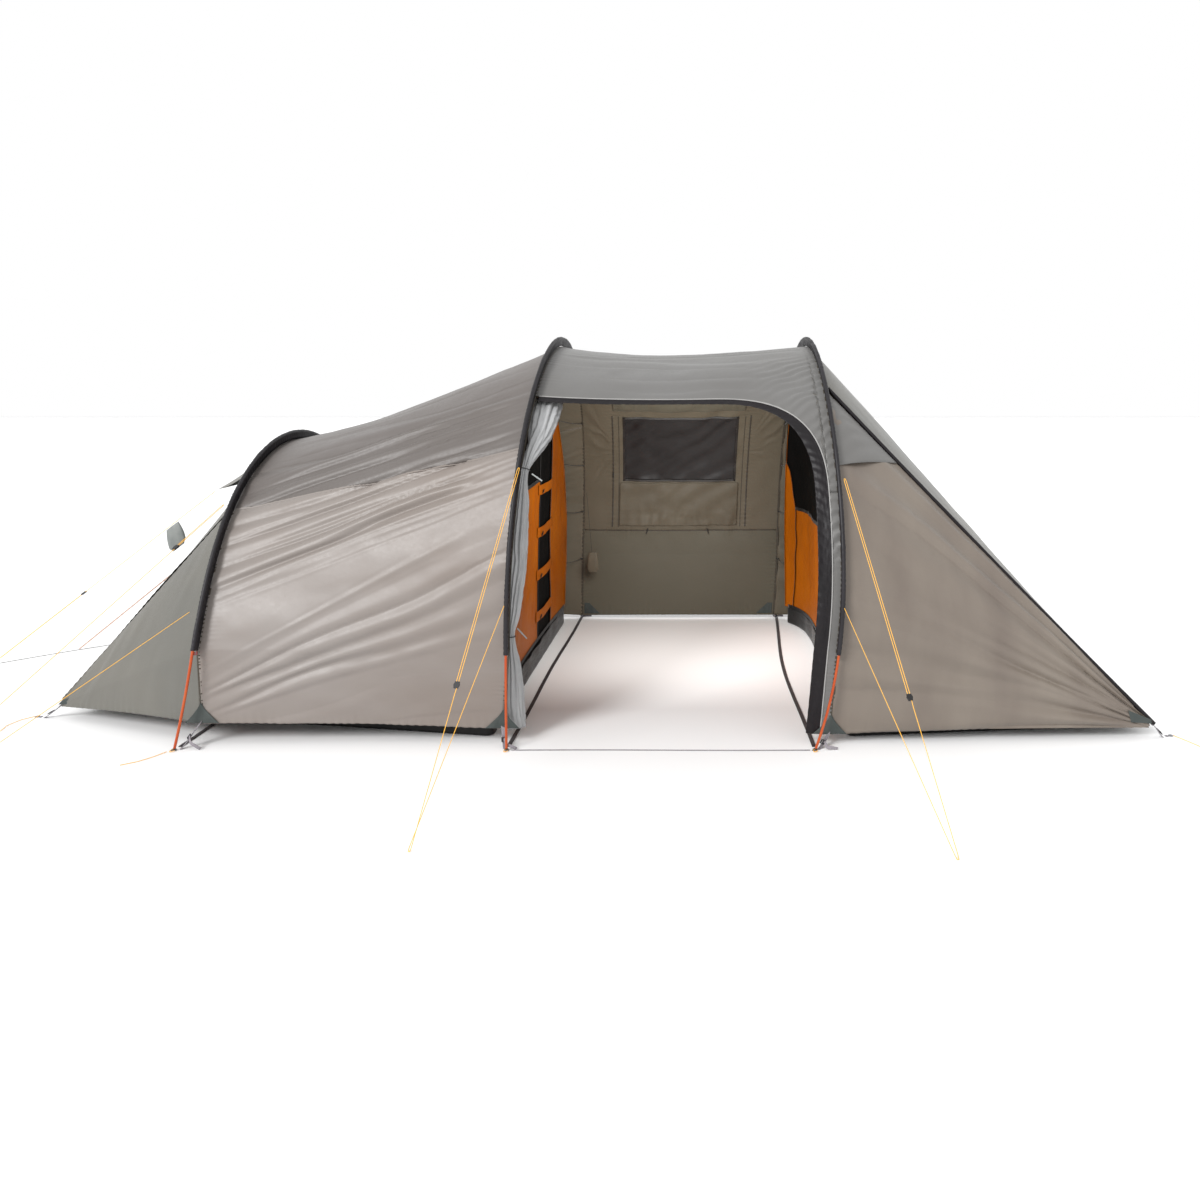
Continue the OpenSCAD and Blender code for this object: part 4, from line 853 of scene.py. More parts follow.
def make_far_wall():
    us, vs = lin(EDGE_U, 1 - EDGE_U, 150), lin(WALL_V + EDGE_V, SEAM_V - EDGE_V, 120)
    g = fly_grid(1, us, vs)
    mid_u, mid_v = (us[1:] + us[:-1]) / 2, (vs[1:] + vs[:-1]) / 2
    hole = ((mid_v > WIN_V[0]) & (mid_v < WIN_V[1]))[:, None] & ((mid_u > WIN_U[0]) & (mid_u < WIN_U[1]))
    panel("far_wall_cloth", g, ["fly_roof_painted_shade", "fly_in_coat_and_backlight"], ["far_wall"], ~hole,
          outside=OUT)
    # the lower wall's inner face: a copy of the inner tone with less spread, with the same painted light shining
    # through the cloth
    g = fly_grid(1, us, lin(SEAM_V + EDGE_V, 1, 80))
    panel("far_wall_lower_cloth", g, ["fly_roof_painted_shade", "fly_low_coat_and_backlight"], ["far_wall_lower"],
          outside=OUT)
    g = fly_grid(1, lin(WIN_U[0] + 0.001, WIN_U[1] - 0.001, 80), lin(WIN_V[0] + 0.0004, WIN_V[1] - 0.0004, 50))
    panel("window_cloth", g, ["pane"], ["window_pane"], outside=OUT)
    corners = [(WIN_U[0], WIN_V[0]), (WIN_U[1], WIN_V[0]), (WIN_U[1], WIN_V[1]), (WIN_U[0], WIN_V[1])]
    for k in range(4):
        (ua, va), (ub, vb) = corners[k], corners[(k + 1) % 4]
        t = lin(0, 1, 60)
        p = fly_cloth(1, ua + (ub - ua) * t, va + (vb - va) * t)
        p = p + inward(p) * 0.004
        ends = unit(p[-1] - p[0]) * 0.006
        p[0] -= ends
        p[-1] += ends
        strap(f"window_piping_{k}", p, 0.014, 0.004, ALONG if k % 2 else UP, "piping")
    t = lin(0.01, 0.99, 100)
    p = fly_cloth(1, t, 0 * t + SEAM_V)
    strap("far_wall_seam", p + inward(p) * 0.002, 0.008, 0.0016, UP, "seam_brown")
    # the head of the wall: a ruffled band over the window
    u, w = np.meshgrid(lin(0.155, 0.80, 140), lin(0, 1, 14), indexing="xy")
    q = fly_cloth(1, u, 0.672 + 0.017 * w)
    ruffle = 0.008 + 0.003 * noise(u * U_SCALE, w * 0.05, 0.035, 231) + 0.004 * np.sin(PI * w)
    panel("window_head_band", q + inward(q) * ruffle[..., None], ["fly_low_coat_and_backlight"], [],
          outside=OUT)
    s, w = np.meshgrid(lin(0, 1, 16), lin(0, 1, 12))
    for name, u, wide in (("left", 0.012, 0.13), ("right", 0.988, -0.13)):
        p = fly_cloth(1, u + wide / U_SCALE * s * (1 - 0.7 * w), 0.9975 - 0.10 / V_SCALE * w)
        panel(f"inner_patch_{name}", p + inward(p) * 0.003, ["patch"], [], outside=OUT)
    zips = []
    for u in (0.15, 0.83):
        t = lin(0.70, SEAM_V - 0.005, 90)
        p = fly_cloth(1, 0 * t + u, t)
        wave = 0.0006 * np.sin(np.arange(len(p)) * 2.6)
        zips.append(strap_mesh("zip_tape", p + inward(p) * 0.003, 0.011, 0.0018, (1, 0, 0), SLOT["seam_brown"]))
        zips.append(strap_mesh("zip_coil", p + inward(p) * (0.0045 + wave[:, None]), 0.005, 0.0024, (1, 0, 0),
                               SLOT["zip"]))
        edge = 0.030 if u < 0.5 else -0.026
        p = fly_cloth(1, 0 * t + u + edge, t)
        zips.append(strap_mesh("zip_seam", p + inward(p) * 0.002, 0.006, 0.0014, (1, 0, 0), SLOT["seam_brown"]))
    place(joined("wall_zip_pair", zips), ["wall_zips"])


def make_curtain():
    """The window's curtain, let down in loose folds and held by two toggles."""
    n, m = 110, 60
    u, w = np.meshgrid(lin(WIN_U[0] - 0.02, WIN_U[1] + 0.02, n), lin(0, 1, m))
    v = WIN_V[1] + 0.003 + (0.862 - WIN_V[1] - 0.003) * w
    p = fly_cloth(1, u, v)
    run = u * U_SCALE
    fold = (0.008 + 0.004 * np.sin(PI * w) + 0.0035 * noise(run, w, 0.12, 201) * w
            + 0.0025 * np.sin(2 * PI * run / 0.09 + 3 * noise(run, w, 0.25, 202)) * smooth(w, 0.3, 1)
            + pucker(run, w * 0.35, 0.02, 0.05, 0.0015, 203))
    g = p + inward(p) * fold[..., None]
    panel("window_curtain", g, ["curtain"], ["curtain"], thick=0.0016, outside=OUT)


def door_line(top, side, n=12):
    pts = [(u, top) for u in lin(0.012, DOOR_CURVE_U, 3 * n)]
    for a in np.radians(np.arange(90 / (6 * n), 90.01, 90 / (6 * n))):
        pts.append((DOOR_CURVE_U + (side - DOOR_CURVE_U) * math.sin(a) ** (2 / DOOR_POWER),
                    DOOR_CORNER_V + (top - DOOR_CORNER_V) * max(math.cos(a), 0) ** (2 / DOOR_POWER)))
    pts += [(side, v) for v in lin(DOOR_CORNER_V, 0, 8 * n)[1:]]
    return np.array(pts)


def make_storm_flap():
    outer = door_line(DOOR_V - 0.0012 / V_SCALE, DOOR_U - 0.0012 / U_SCALE)
    inner = door_line(DOOR_V - 0.043 / V_SCALE, DOOR_U - 0.070 / U_SCALE)
    # spread the rows evenly along the edge
    edge = fly(1, outer[:, 0], outer[:, 1])
    run = lengths(edge)
    at = np.linspace(0, run[-1], 420)
    outer = np.stack([np.interp(at, run, outer[:, k]) for k in (0, 1)], -1)
    inner = np.stack([np.interp(at, run, inner[:, k]) for k in (0, 1)], -1)
    w = lin(0, 1, 14)[:, None]
    u = outer[:, 0] + (inner[:, 0] - outer[:, 0]) * w
    v = outer[:, 1] + (inner[:, 1] - outer[:, 1]) * w
    p = fly(1, u, v)
    slant = at + 0.05 * w
    down = smooth(at + 0 * w, 1.2, 1.9)
    wave = (0.0006 + 0.0022 * down) * w * np.sin(2 * PI * slant / 0.055 + 3.5 * noise(slant, 0 * slant, 0.12, 211))
    wave = wave + (0.002 + 0.003 * down) * w * noise(at + 0 * w, 0.3 * w + 0 * at, 0.16, 212)
    wave = wave + 0.0012 * down * noise(slant, 0.4 * w + 0 * at, 0.03, 213)
    g = p + inward(p) * (wave + 0.001)[..., None]
    panel("storm_flap_cloth", g, ["flap"], ["storm_flap"], thick=0.0012, outside=OUT)
    # a light tube along the flap's outer edge: partly piping, partly a painted highlight standing for the bright line
    # that light makes there
    rim = g[0] - inward(g[0]) * 0.002
    tube("storm_flap_piping_and_highlight", rim, 0.0035, "light_thread_and_highlight", 8)


make_far_wall()
make_curtain()
make_storm_flap()

# ---------------------------------------------------------------- sleeves over the poles


def hoop_frame(h, s):
    c = hoop_at(h, s)
    n = unit_rows(hoop_at(h, s, 0.010) - c)
    return c, n, unit_rows(np.cross(unit_rows(hoop_at(h, s + 0.002) - hoop_at(h, s - 0.002)), n))


# depth below the pole and half width of a sleeve's neck, down to the fly
SLEEVE_NECK = ((0.018, 0.0058), (0.030, 0.0042), (FLY_DROP - 0.004, 0.0036))


def make_sleeves():
    for i, name in enumerate(("left", "middle", "right")):
        h = HOOPS[i]
        s0 = hoop_s(h, SLEEVE_END)
        s = lin(s0, 1 - s0, 420)
        run = s * hoop_len(h)
        c, n, side = hoop_frame(h, s)
        rings = []
        gather = 0.0010 * np.sin(2 * PI * run / 0.020 + 2.5 * noise(run, 0 * run, 0.05, 221 + i))
        loose = 0.0018 * noise(run, 0 * run, 0.07, 222 + i)
        r = 0.0112 + gather + 0.5 * loose
        for a in np.radians(np.linspace(-125, 125, 15)):
            swing = 0.0006 * np.sin(2 * PI * run / 0.027 + a * 2)
            rings.append(c + (r + swing)[:, None] * (side * math.sin(a) - n * math.cos(a)))
        for sign in (1, -1):
            for depth, half in SLEEVE_NECK[::sign]:
                wave = 0.0022 * np.sin(2 * PI * run / 0.031 + 2.4 * noise(run, 0 * run, 0.06, 223 + i)) * (depth < 0.04)
                rings.append(c + n * depth + side * (sign * half + wave)[:, None])
        place(skin(f"sleeve_cloth_{name}", np.stack(rings, 1), SLOT["sleeve"]), [f"sleeve_{name}"])


make_sleeves()

# ---------------------------------------------------------------- the rolled door and its ties

ROLL_PATH = [(-250, -684, 1738), (-272, -842, 1618), (-286, -1004, 1474), (-326, -1140, 1335),
             (-334, -1190, 1150), (-346, -1215, 900), (-362, -1230, 640), (-376, -1222, 520),
             (-370, -1212, 330), (-366, -1200, 60)]
ROLL_WIDE = V(1, 0.35, 0)
ROLL_SIZE = [(56, 30), (76, 38), (54, 30), (22, 15), (38, 25), (46, 28), (30, 20), (17, 14), (42, 24), (56, 20)]


def make_rolled_door():
    path = np.array(smooth_path([V(*p) / 1000 + V(0.026, 0.030, 0) for p in ROLL_PATH], 26))
    size = np.array(smooth_path([V(a, b, 0) / 1000 for a, b in ROLL_SIZE], 26))[:, :2]
    m, n = len(path), 96
    run = lengths(path)
    th = 2 * PI * np.arange(n) / n
    rings = []
    for k in range(m):
        a, b = across(ROLL_WIDE, heading(path, k))
        turn = th + 0.8 * noise(np.full(n, run[k]), 0 * th, 0.45, 301)
        pleat = (np.abs(np.sin(3.5 * turn + 1.1 * noise(np.full(n, run[k]), th, 0.3, 302))) - 0.6) * 0.20
        pleat = pleat + 0.10 * np.sin(11 * turn + 3 * noise(np.full(n, run[k]), 0 * th + 5, 0.16, 303))
        crumple = 0.05 * noise(th * 0.05, np.full(n, run[k]), 0.018, 304)
        r = 0.88 + pleat + crumple
        rings.append(path[k] + a * (size[k, 0] * np.cos(th) * r)[:, None]
                     + b * (size[k, 1] * np.sin(th) * r)[:, None])
    obj = skin("rolled_door_cloth", np.array(rings), SLOT["door"])
    place(obj, ["rolled_door"])
    for name, z in (("upper", 1.335), ("lower", 0.520)):
        k = int(np.argmin(np.abs(path[:, 2] - z)))
        a, b = across(ROLL_WIDE, heading(path, k))
        t = np.linspace(0, 2 * PI, 33)
        loop = path[k] + a * (size[k, 0] * 1.06 * np.cos(t))[:, None] + b * (size[k, 1] * 1.06 * np.sin(t))[:, None]
        tube(f"door_tie_{name}", loop, 0.0022, "elastic", 8)


make_rolled_door()

# ---------------------------------------------------------------- sleeping cabins

LEFT_FRONT, RIGHT_FRONT, TUB = -0.455, 1.310, 0.120
MESH_Z = {"left": 1.145, "right": 0.850}
STRIP_Y = (0.17, 0.58)
EDGE_BAND = 1.020
TAB_Z = (0.281, 0.545, 0.816, 1.087)


def front_half(z):
    z = np.asarray(z, float)
    return np.where(z < 0.62, 1.08 + 0.09 * z / 0.62, np.sqrt(np.maximum(1.17 ** 2 - (z - 0.62) ** 2, 0)))


def front_x(x, t):
    return x - (0.145 * np.clip(t, 0, 1) ** 6 if x > 0 else 0)


def front_points(wall, y, z):
    """Point of a cabin's front wall: it bows along X and hangs in light folds between its hooks."""
    x, bow, seed = wall
    half = front_half(z)
    t = np.clip(y / half, -1, 1)
    px = front_x(x, t) + bow * np.cos(PI / 2 * t) * (1 - z / 2)
    hang = smooth(z, 0.1, 0.4) * (1 - smooth(z, 1.5, 1.75))
    edge = 1 - np.abs(t)
    r = 0.010 * noise(y, z * 0.25, 0.16, seed) * hang + 0.004 * noise(y, z * 0.5, 0.06, seed + 1) * hang
    r = r + 0.006 * np.sin(2 * PI * z / 0.37 + 1) * np.exp(-edge / 0.10)
    return np.stack([px + r * np.minimum(1, edge / 0.04), y, z], -1)


def front_grid(wall, z0, z1, t0, t1, n, m):
    z, t = np.meshgrid(lin(z0, z1, m), lin(0, 1, n), indexing="ij")
    half = front_half(z)
    lo = np.clip(t0, -half, half) if abs(t0) < 1.5 else np.sign(t0) * half
    hi = np.clip(t1, -half, half) if abs(t1) < 1.5 else np.sign(t1) * half
    return front_points(wall, lo + (hi - lo) * t, z)


def front_cell(name, wall, z0, z1, y0, y1, n, m, mat, node=None):
    """A cell of a front wall; y beyond 1.5 stands for the wall's own edge."""
    g = front_grid(wall, z0, z1, y0, y1, n, m)
    return panel(name, g, [mat], [node] if node else [],
                 outside=-1 if wall[0] > 0 else 1)


def front_line(name, wall, y, z, lift, width, wide, mat):
    return strap(name, front_points(wall, y, z) + V(lift, 0, 0), width, 0.0015, wide, mat)


def make_fronts():
    for side, wall in (("left", (LEFT_FRONT, -0.030, 311)), ("right", (RIGHT_FRONT, 0.018, 321))):
        left = side == "left"
        lift, split, top = 0.004 if left else -0.004, MESH_Z[side], 1.765
        edge = STRIP_Y[1] if left else EDGE_BAND
        low = STRIP_Y[0] if left else edge
        front_cell(f"{side}_front_near", wall, TUB + 0.004, split, -2, low, 100, 110, "inner",
                   "inner_fronts" if left else None)
        front_cell(f"{side}_front_band", wall, TUB + 0.004, 1.50 if left else 1.17, edge, 2, 50, 120, "inner")
        front_cell(f"{side}_mesh_cloth", wall, split + 0.002, top, -2, low, 100, 60, "mesh",
                   "inner_meshes" if left else None)
        if left:
            front_cell("left_mesh_corner", wall, 1.502, 1.64, edge, 2, 30, 20, "mesh")
            front_cell("left_front_gap_mesh", (LEFT_FRONT - 0.006, *wall[1:]), TUB + 0.004, top,
                       STRIP_Y[0] - 0.01, STRIP_Y[1] + 0.01, 40, 140, "mesh")
            for k, z in enumerate(TAB_Z):
                y = lin(STRIP_Y[0] - 0.05, STRIP_Y[1] + 0.05, 30)
                p = front_points(wall, y, 0 * y + z) + V(0.006, 0, 0)
                p[:, 2] -= 0.008 * np.sin(PI * lin(0, 1, 30))
                strap(f"front_tab_{k}", p, 0.058, 0.0015, UP, "inner")
                c = p[6] + V(0.008, 0, -0.012)
                tube(f"tab_toggle_{k}", [c + V(0, dy, 0.5 * dy) for dy in lin(-0.020, 0.020, 8)],
                     0.0045 - 0.0015 * np.abs(lin(-1, 1, 8)), "plastic", 10)
                for dz in (-0.028, 0.028):
                    strap(f"tab_hem_{k}_{'low' if dz < 0 else 'high'}", p + V(0.0012, 0, dz), 0.006, 0.001, UP,
                          "inner")
        z = lin(TUB + 0.01, 1.62, 90)
        for k, y in enumerate(STRIP_Y if left else (edge,)):
            front_line(f"{side}_front_tape_{k}", wall, 0 * z + y, z, lift, 0.014, (0, 1, 0), "tape")
        y = lin(-0.985 * float(front_half(split)), low, 120)
        front_line(f"{side}_mesh_tape", wall, y, split + 0.004 * np.sin(y * 9), lift, 0.022, UP, "tape")
        y = lin(-0.97, 0.97, 120) * float(front_half(TUB + 0.012))
        front_line(f"{side}_sill_tape", wall, y, 0 * y + TUB + 0.012, lift, 0.024, UP, "tape")
        # the bound edge, scalloped between its hooks
        z = lin(TUB + 0.02, 1.70, 140)
        for s in (-1, 1):
            y = s * (front_half(z) - 0.008)
            front_line(f"{side}_front_edge_{side_name(s)}", wall, y, z, lift, 0.016, (0, 1, 0.2), "inner")


def cabin_grid(x0, x1, half0, half1, top0, top1, belly, seed, n=110, m=120):
    u, a = np.meshgrid(lin(0, 1, n), lin(0, PI, m), indexing="ij")
    k = u ** belly
    half, top = half0 + (half1 - half0) * k, top0 + (top1 - top0) * k
    x = x0 + (x1 - x0) * u
    y = -half * np.abs(np.cos(a)) ** 0.7 * np.sign(np.cos(a))
    z = TUB + 0.004 + (top - TUB) * np.sin(a) ** 0.8
    g = np.stack([x, y, z], -1)
    c = unit_rows(np.stack([0 * x, -y, 0.4 - z], -1))
    tie = np.minimum(1, np.minimum(a, PI - a) / 0.25) * np.minimum(1, np.minimum(u, 1 - u) / 0.06)
    # the canopy is hung at points along its length and droops between them
    droop = 0.022 * np.abs(np.sin(3 * PI * u))
    wave = droop + 0.010 * noise(x, y + z, 0.22, seed) + 0.004 * noise(x, y + z, 0.07, seed + 1)
    return g + c * (wave * tie)[..., None]


def make_cabins():
    left = cabin_grid(LEFT_FRONT - 0.045, -2.480, 1.120, 0.790, 1.660, 0.300, 1.7, 331)
    right = cabin_grid(RIGHT_FRONT + 0.030, 2.520, 1.080, 1.000, 1.700, 0.330, 0.9, 341)
    panel("left_canopy", left, ["inner"], ["inner_canopies"], outside=1)
    panel("right_canopy", right, ["inner"], [], outside=-1)


def make_tubs():
    for name, x0, x1, h0, h1 in (("left", LEFT_FRONT, -2.500, 1.130, 0.800),
                                 ("right", RIGHT_FRONT, 2.540, 1.130, 1.010)):
        s = 1 if x1 > x0 else -1
        front = [V(front_x(x0, y / h0), y) for y in ((1.13, -1.13) if s < 0 else (1.13, 1.0, 0.85, 0.6, -1.13))]
        c = front + [V(x1, -h1), V(x1, h1)]
        loop = []
        for k in range(len(c)):
            a, b, d = c[k - 1], c[k], c[(k + 1) % len(c)]
            p, q = b + unit(a - b) * 0.05, b + unit(d - b) * 0.05
            e = d + unit(b - d) * 0.05
            loop += [bend(p, b, q, t) for t in lin(0, 1, 8)] + [q + (e - q) * t for t in lin(0, 1, 60)[1:-1]]
        loop = np.array(loop + loop[:1])
        mid = V((x0 + x1) / 2, 0)
        run = lengths(loop)
        out = unit_rows(loop - mid)
        rows = []
        for k in lin(0.02, 0.97, 26):
            q = mid + (loop - mid) * k
            z = 0.0035 + 0.0018 * noise(q[:, 0], q[:, 1], 0.12, 351)
            rows.append(np.column_stack([q, z]))
        for t in lin(0, 1, 12):
            lean = -0.010 + 0.004 * np.sin(2 * PI * run / 0.31) * t + 0.003 * noise(run, 0 * run + t, 0.08, 352)
            q = loop + out * (lean * (0.4 + 0.6 * t))[:, None]
            z = 0.004 + (TUB - 0.006 + 0.004 * noise(run, 0 * run, 0.2, 353)) * t
            rows.append(np.column_stack([q, z + 0 * run]))
        g = np.array(rows)
        panel(f"{name}_floor_cloth", g, ["floor"], ["inner_floors"] if name == "left" else [],
              thick=0.0012, outside=s)


def make_hooks():
    for i in (1, 2):
        for z in (0.430, 0.800, 1.170, 1.500):
            for y in (-1, 1):
                v = fly_z(i, z)
                if i == 1 and y < 0 and z > 1.4:
                    continue
                x = front_x(LEFT_FRONT if i == 1 else RIGHT_FRONT, y)
                p = fly_at(i, V(v if y < 0 else 1 - v))[0]
                p = p + inward(p) * 0.012
                q = V(x + (0.005 if i == 1 else -0.005), y * (float(front_half(z)) - 0.006), z)
                d = unit(q - p)
                mid = (p + q) / 2 + V(0, 0, -0.006)
                path = smooth_path([p + d * 0.005, mid, q - d * 0.005], 8)
                name = f"hook_{i}_{int(z * 100)}_{side_name(y)}"
                elastic = tube_mesh(name, path, 0.0023, SLOT["elastic"], 8)
                c = p + d * 0.010
                side = unit(np.cross(d, V(0, 0, 1)))
                bow = [c + d * (0.012 * math.cos(t)) + side * (0.009 * math.sin(t))
                       for t in np.linspace(0.4, 2 * PI, 20)]
                loop = tube_mesh(name + "_bow", bow, 0.0018, SLOT["plastic"], 8)
                place(joined(name, [elastic, loop]), ["inner_hooks"] if (i, z, y) == (1, 0.430, -1) else [])


make_fronts()
make_cabins()
make_tubs()
make_hooks()

# ---------------------------------------------------------------- webbing, patches and small things at the feet

WEB_W, WEB_T = 0.025, 0.002
END_REACH = 2.950


def hoop_foot(i, far):
    p = hoop_at(HOOPS[i], V(1.0 if far else 0.0))[0]
    return V(p[0], p[1], WEB_T / 2)


def fly_corner(i, far):
    return fly_at(i, V(1.0 if far else 0.0))[0]


def stitched(name, path, width, thick, wide, mat, nodes=(), rows=3):
    """Webbing with a bar of stitches near each end."""
    path = np.array(smooth_path(path, 8))
    parts = [strap_mesh(name, path, width, thick, wide, SLOT[mat])]
    run = lengths(path)
    for end in (0, 1):
        for r in range(rows):
            at = 0.010 + 0.005 * r
            at = at if end == 0 else run[-1] - at
            p = V(*[np.interp(at, run, path[:, k]) for k in range(3)])
            q = V(*[np.interp(at + 0.002, run, path[:, k]) for k in range(3)])
            a, b = across(V(*wide), unit(q - p))
            for face in (-1, 1):
                bar = [p + a * t * width * 0.42 + b * face * (thick * 0.52 + 0.0002 * math.cos(20 * t))
                       for t in lin(-1, 1, 14)]
                parts.append(tube_mesh("stitch", bar, 0.0006, SLOT["light_thread_and_highlight"], 5))
    return place(joined(name, parts), nodes)


def make_feet():
    first = True
    for i in range(3):
        for far in (False, True):
            y = 1 if far else -1
            word = f"{i}_{side_name(y)}"
            c, f = fly_corner(i, far), hoop_foot(i, far)
            way = unit(V(f[0] - c[0], f[1] - c[1], 0))
            wide = np.cross(way, V(0, 0, 1))
            top, low = c + way * 0.016 + V(0, 0, -0.004), f - way * 0.030
            path = [c + way * 0.003 + V(0, 0, 0.016), top, low, f + way * 0.014]
            stitched(f"foot_web_{word}", path, WEB_W * 0.7, WEB_T, wide, "webbing",
                     ["foot_straps"] if first else [])
            tail = (top + low) / 2 + V(0.004, 0.012 * y, 0.010)
            path = [tail, tail + V(0.012, 0.016 * y, -0.022), tail + V(0.03, 0.022 * y, -0.034 + 0.006 * i),
                    V(tail[0] + 0.062, tail[1] + 0.016 * y, 0.004)]
            path = [V(p[0], p[1], max(p[2], 0.003)) for p in path]
            stitched(f"foot_tail_{word}", path, WEB_W * 0.6, 0.0016, (0.4, 0, 1), "webbing", rows=1)
            t = np.linspace(0.2, 2 * PI + 0.2, 26)
            ring = [f + V(0.010 * math.cos(a), y * (0.016 + 0.012 * math.sin(a)), 0.003 + 0.001 * math.sin(2 * a))
                    for a in t]
            tube(f"foot_loop_{word}", ring, 0.0015, "line", 7)
            make_patch(i, far, ["corner_patches"] if first else [])
            h = HOOPS[i]
            s0 = hoop_s(h, SLEEVE_END - 0.012)
            s = 1 - s0 if far else s0
            a, b = hoop_at(h, V(s), 0.0075)[0], hoop_at(h, V(s), FLY_DROP - 0.0025)[0]
            stitched(f"sleeve_web_{word}", [a, (a + b) / 2 + V(0, 0, -0.002), b], 0.016, 0.0018, (0, 0, 1),
                     "red_webbing" if i == 0 else "dark_webbing", ["sleeve_straps"] if first else [])
            first = False
    for x, corner in ((-1, LEFT_CORNER), (1, RIGHT_CORNER)):
        for y in (-1, 1):
            e = V(corner[0], corner[1] * y, 0.060)
            path = [e + V(-x * 0.012, 0.006 * y, 0.016), e + V(x * 0.012, 0, -0.006),
                    V(x * (END_REACH - 0.060), corner[1] * y * 0.98, WEB_T / 2),
                    V(x * (END_REACH - 0.027), corner[1] * y * 0.97, WEB_T / 2)]
            word = f"{'left' if x < 0 else 'right'}_{side_name(y)}"
            stitched(f"corner_web_{word}", path, WEB_W * 0.8, WEB_T, (0, 1, 0), "webbing")
            make_end_patch(word, x, y, corner)


def make_patch(i, far, nodes):
    y = 1 if far else -1
    c, up = fly_corner(i, far), fly_at(i, V(0.93 if far else 0.07))[0]
    w, t = np.meshgrid(lin(0, 1, 24), lin(-1, 1, 28), indexing="ij")
    rise = (up - c) * 0.095 / np.linalg.norm(up - c)
    half = 0.080 * (1 - w) ** 1.3 + 0.004
    bump = 0.0008 * np.sin(9 * t + 5 * w) * (1 - w)
    g = c + rise * w[..., None] + np.stack([t * half, 0 * w + y * (0.0045 + bump), 0 * w + 0.004], -1)
    name = f"corner_patch_{i}_{side_name(y)}"
    panel(name, g, ["patch"], nodes, thick=0.0011, outside=-y)


def make_end_patch(word, x, y, corner):
    """Small reinforcement on the end panel's ground corner."""
    tip = V(corner[0], corner[1] * y, 0.078)
    w, t = np.meshgrid(lin(0, 1, 16), lin(0, 1, 16), indexing="ij")
    inx, up = V(-x * 0.12, 0.010 * y, 0.010), V(-x * 0.055, 0.0, 0.062)
    g = tip + inx * (w * (1 - 0.35 * t))[..., None] + up * (t * (0.35 + 0.65 * w))[..., None]
    g = g + V(0, 0.013 * y, 0)
    panel(f"end_patch_{word}", g, ["patch"], [], thick=0.0011, outside=1 if x * y > 0 else -1)


def make_cross_straps():
    for y in (-1, 1):
        foot = hoop_foot(0, y > 0)
        t = lin(0, 1, 30)[:, None]
        path = V(foot[0] + 0.008, foot[1] - 0.040 * y, 0.0016) + V(0, y * 0.905 - foot[1] + 0.040 * y, 0) * t
        path = path + V(0, 0, 1) * 0.0012 * np.abs(np.sin(5 * PI * t))
        strap(f"cross_strap_0_{side_name(y)}", path, 0.020, 0.002, ALONG, "dark_webbing")
    for i in (1, 2):
        a, b = hoop_foot(i, False) + V(0, 0.040, 0.0006), hoop_foot(i, True) + V(0, -0.040, 0.0006)
        t = lin(0, 1, 90)[:, None]
        slack = 0.045 if i == 2 else 0.004
        path = a + (b - a) * t + V(-1, 0, 0) * slack * np.sin(PI * t) + V(1, 0, 0) * 0.004 * np.sin(3 * PI * t)
        path = path + V(0, 0, 1) * (0.0004 + 0.0012 * np.abs(np.sin(7 * PI * t)))
        strap(f"cross_strap_{i}", path, 0.020, 0.002, ALONG, "dark_webbing",
              ["cross_straps"] if i == 1 else [])
    a, b = hoop_foot(1, False) + V(0.024, -0.004, 0.002), hoop_foot(2, False) + V(-0.024, -0.004, 0.002)
    t = lin(0, 1, 60)[:, None]
    path = a + (b - a) * t + V(0, 1, 0) * 0.003 * np.sin(2 * PI * t)
    tube("threshold_line", path, 0.0022, "webbing", 8)


make_feet()
make_cross_straps()

# ---------------------------------------------------------------- pouches


def pouch_mesh(name, p, along, w, h, nodes, body, mat, down=(0, 0, -1)):
    """A small hanging bag: full below, gathered at its neck."""
    along, down = unit(V(*along)), unit(V(*down))
    side = unit(np.cross(along, down))
    rings = []
    for k, t in enumerate(lin(0, 1, 40)):
        wide = w / 2 * (0.74 + 0.26 * math.sin(PI * min(t * 1.5, 1) / 2) - 0.30 * smooth(V(t), 0.78, 1.0)[0])
        deep = 0.005 + 0.0095 * math.sin(PI * min(max(t, 0.02), 0.98)) ** 0.7
        a = 2 * PI * np.arange(48) / 48
        crease = 1 + 0.06 * np.sin(5 * a + 2 * t) + 0.05 * noise(a * 0.3, 0 * a + t * 0.4, 0.08, 401)
        flat = wide * np.sign(np.cos(a)) * np.abs(np.cos(a)) ** 0.6
        rings.append(p + down * (0.008 + t * h * 3) + along * flat[:, None]
                     + side * (deep * np.sin(a) * crease)[:, None])
    obj = skin(name, np.array(rings), SLOT[mat])
    place(obj, nodes, body)
    return obj


def make_pouches():
    high, peg = GUYS["hood"]["high"], GUYS["hood"]["peg"]
    at = high + (peg - high) * 0.19
    obj = pouch_mesh("line_pouch_cloth", at, peg - high, 0.125, 0.046, ["pouch_line"], "pouch_line", "pouch",
                     (0.3, 0, -1))
    hook, top = V(-0.300, 1.150, 0.950), V(-0.250, 1.125, 0.520)
    obj = pouch_mesh("wall_pouch_cloth", top, ALONG, 0.085, 0.048, ["pouch_wall"], "pouch_wall",
                     "curtain")
    end = top + V(0, 0, -0.100)
    points = [hook + (end - hook) * t for t in lin(0, 1, 16)]
    line = curve_object("wall_pouch_cord", points, 0.00125)
    line.data.materials.append(SLOT["elastic"])
    place(line, [], "pouch_wall")


make_pouches()

# ---------------------------------------------------------------- finishes of the parts kept from the CAD

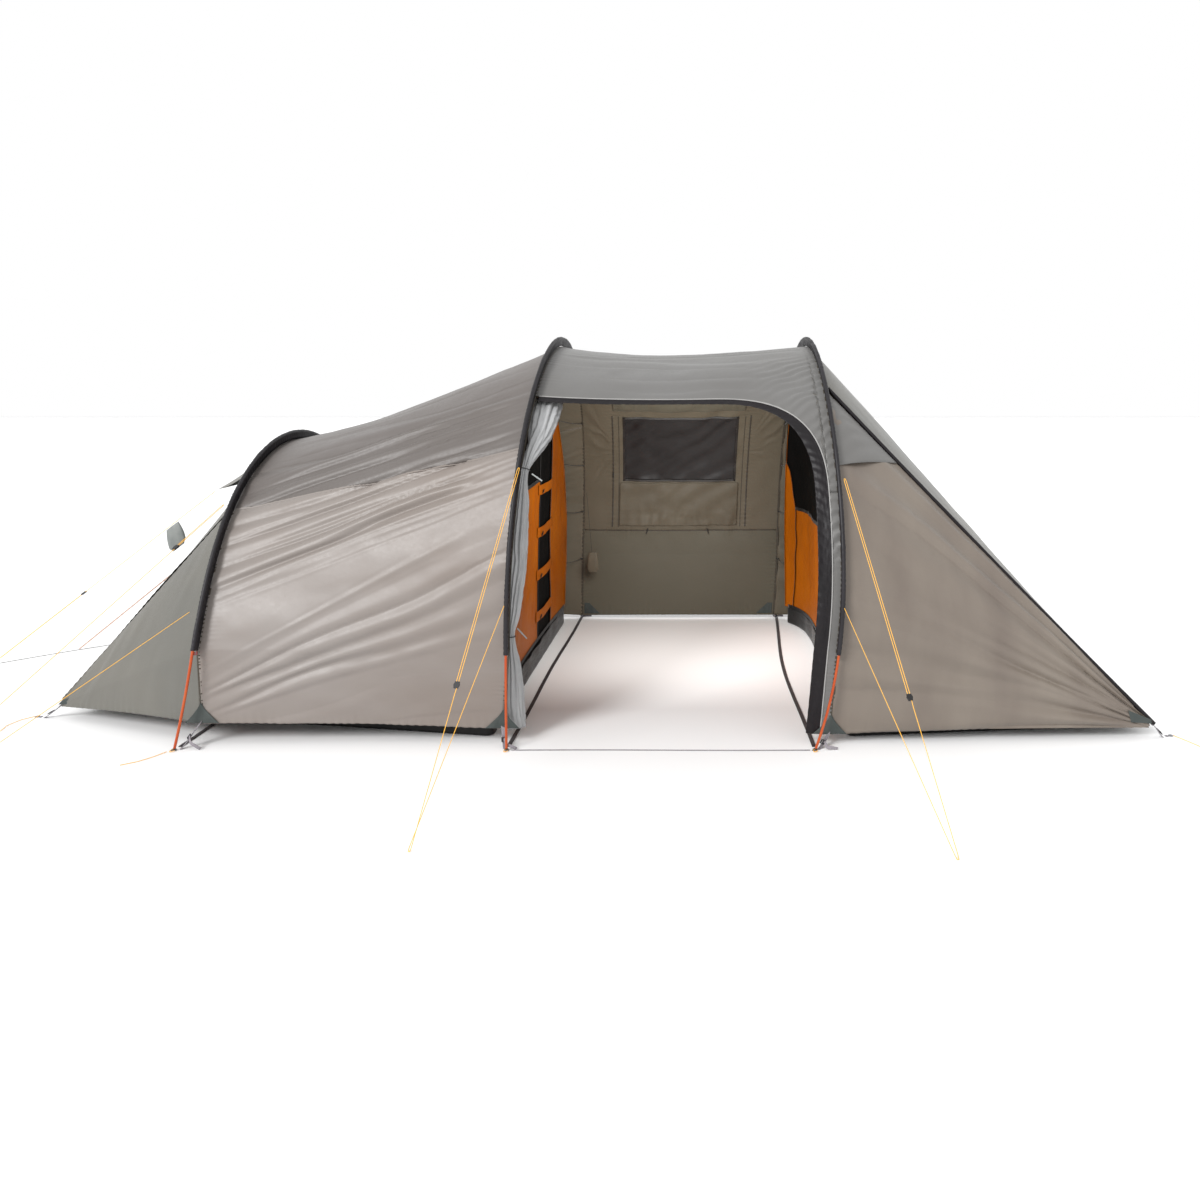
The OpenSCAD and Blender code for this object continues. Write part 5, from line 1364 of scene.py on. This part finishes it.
KEPT = {"pole": ["pole_left", "pole_middle", "pole_right"], "metal": ["pole_ferrules", "foot_eyelets", "peg_eyelets"],
        "elastic": ["shock_cords"], "toggle": ["door_toggle_upper", "door_toggle_lower"],
        "plastic": ["pole_tips", "buckles", "zip_slider", "curtain_toggle_left", "curtain_toggle_right"]
        + [f"tensioner_{k}" for k in GUYS]}
for finish_, names_ in KEPT.items():
    for name_ in names_:
        mesh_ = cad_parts[name_].data
        for k_ in range(max(1, len(mesh_.materials))):
            if mesh_.materials:
                mesh_.materials[k_] = SLOT[finish_]
            else:
                mesh_.materials.append(SLOT[finish_])

# ---------------------------------------------------------------- the studio


def area_light(name, at, aim, size, power, color):
    data = bpy.data.lights.new(name, "AREA")
    data.energy, data.size, data.color = power, size, color
    obj = shown(name, data)
    obj.location = at
    obj.rotation_euler = (Vector(aim) - Vector(at)).to_track_quat("-Z", "Y").to_euler()
    obj.visible_camera = False
    return obj


def make_studio():
    world = bpy.data.worlds.new("studio")
    world.use_nodes = True
    world.node_tree.nodes["Background"].inputs["Color"].default_value = (1, 1, 1, 1)
    world.node_tree.nodes["Background"].inputs["Strength"].default_value = 1.0
    bpy.context.scene.world = world
    bpy.context.scene.view_settings.view_transform = "Standard"
    sun = bpy.data.lights.new("key", "SUN")
    sun.energy, sun.angle = 2.6, 0.35
    key = shown("key", sun)
    key.rotation_euler = (Vector((0, 0, 0)) - Vector((-4.2, -6, 4.6))).to_track_quat("-Z", "Y").to_euler()
    area_light("inside", (0.4, -0.3, 1.28), (0.4, 1.3, 0.75), 0.8, 25, (1.0, 0.99, 0.97))
    rng = np.linspace(-1, 1, 41)
    x, y = np.meshgrid(rng * 40, rng * 40)
    g = np.stack([x, y, 0 * x - 0.0005], -1)
    m = blank("studio_floor")
    for key, value in (("Base Color", (0.9, 0.9, 0.9, 1)), ("Roughness", 0.9)):
        m.node_tree.nodes["Principled BSDF"].inputs[key].default_value = value
    floor = cloth("studio_floor", g, [m], 0.001, None, 1)
    floor.location.z = -0.001


make_studio()

for cord_, slot_ in CORDS:
    cord_.data.materials.append(SLOT[slot_])
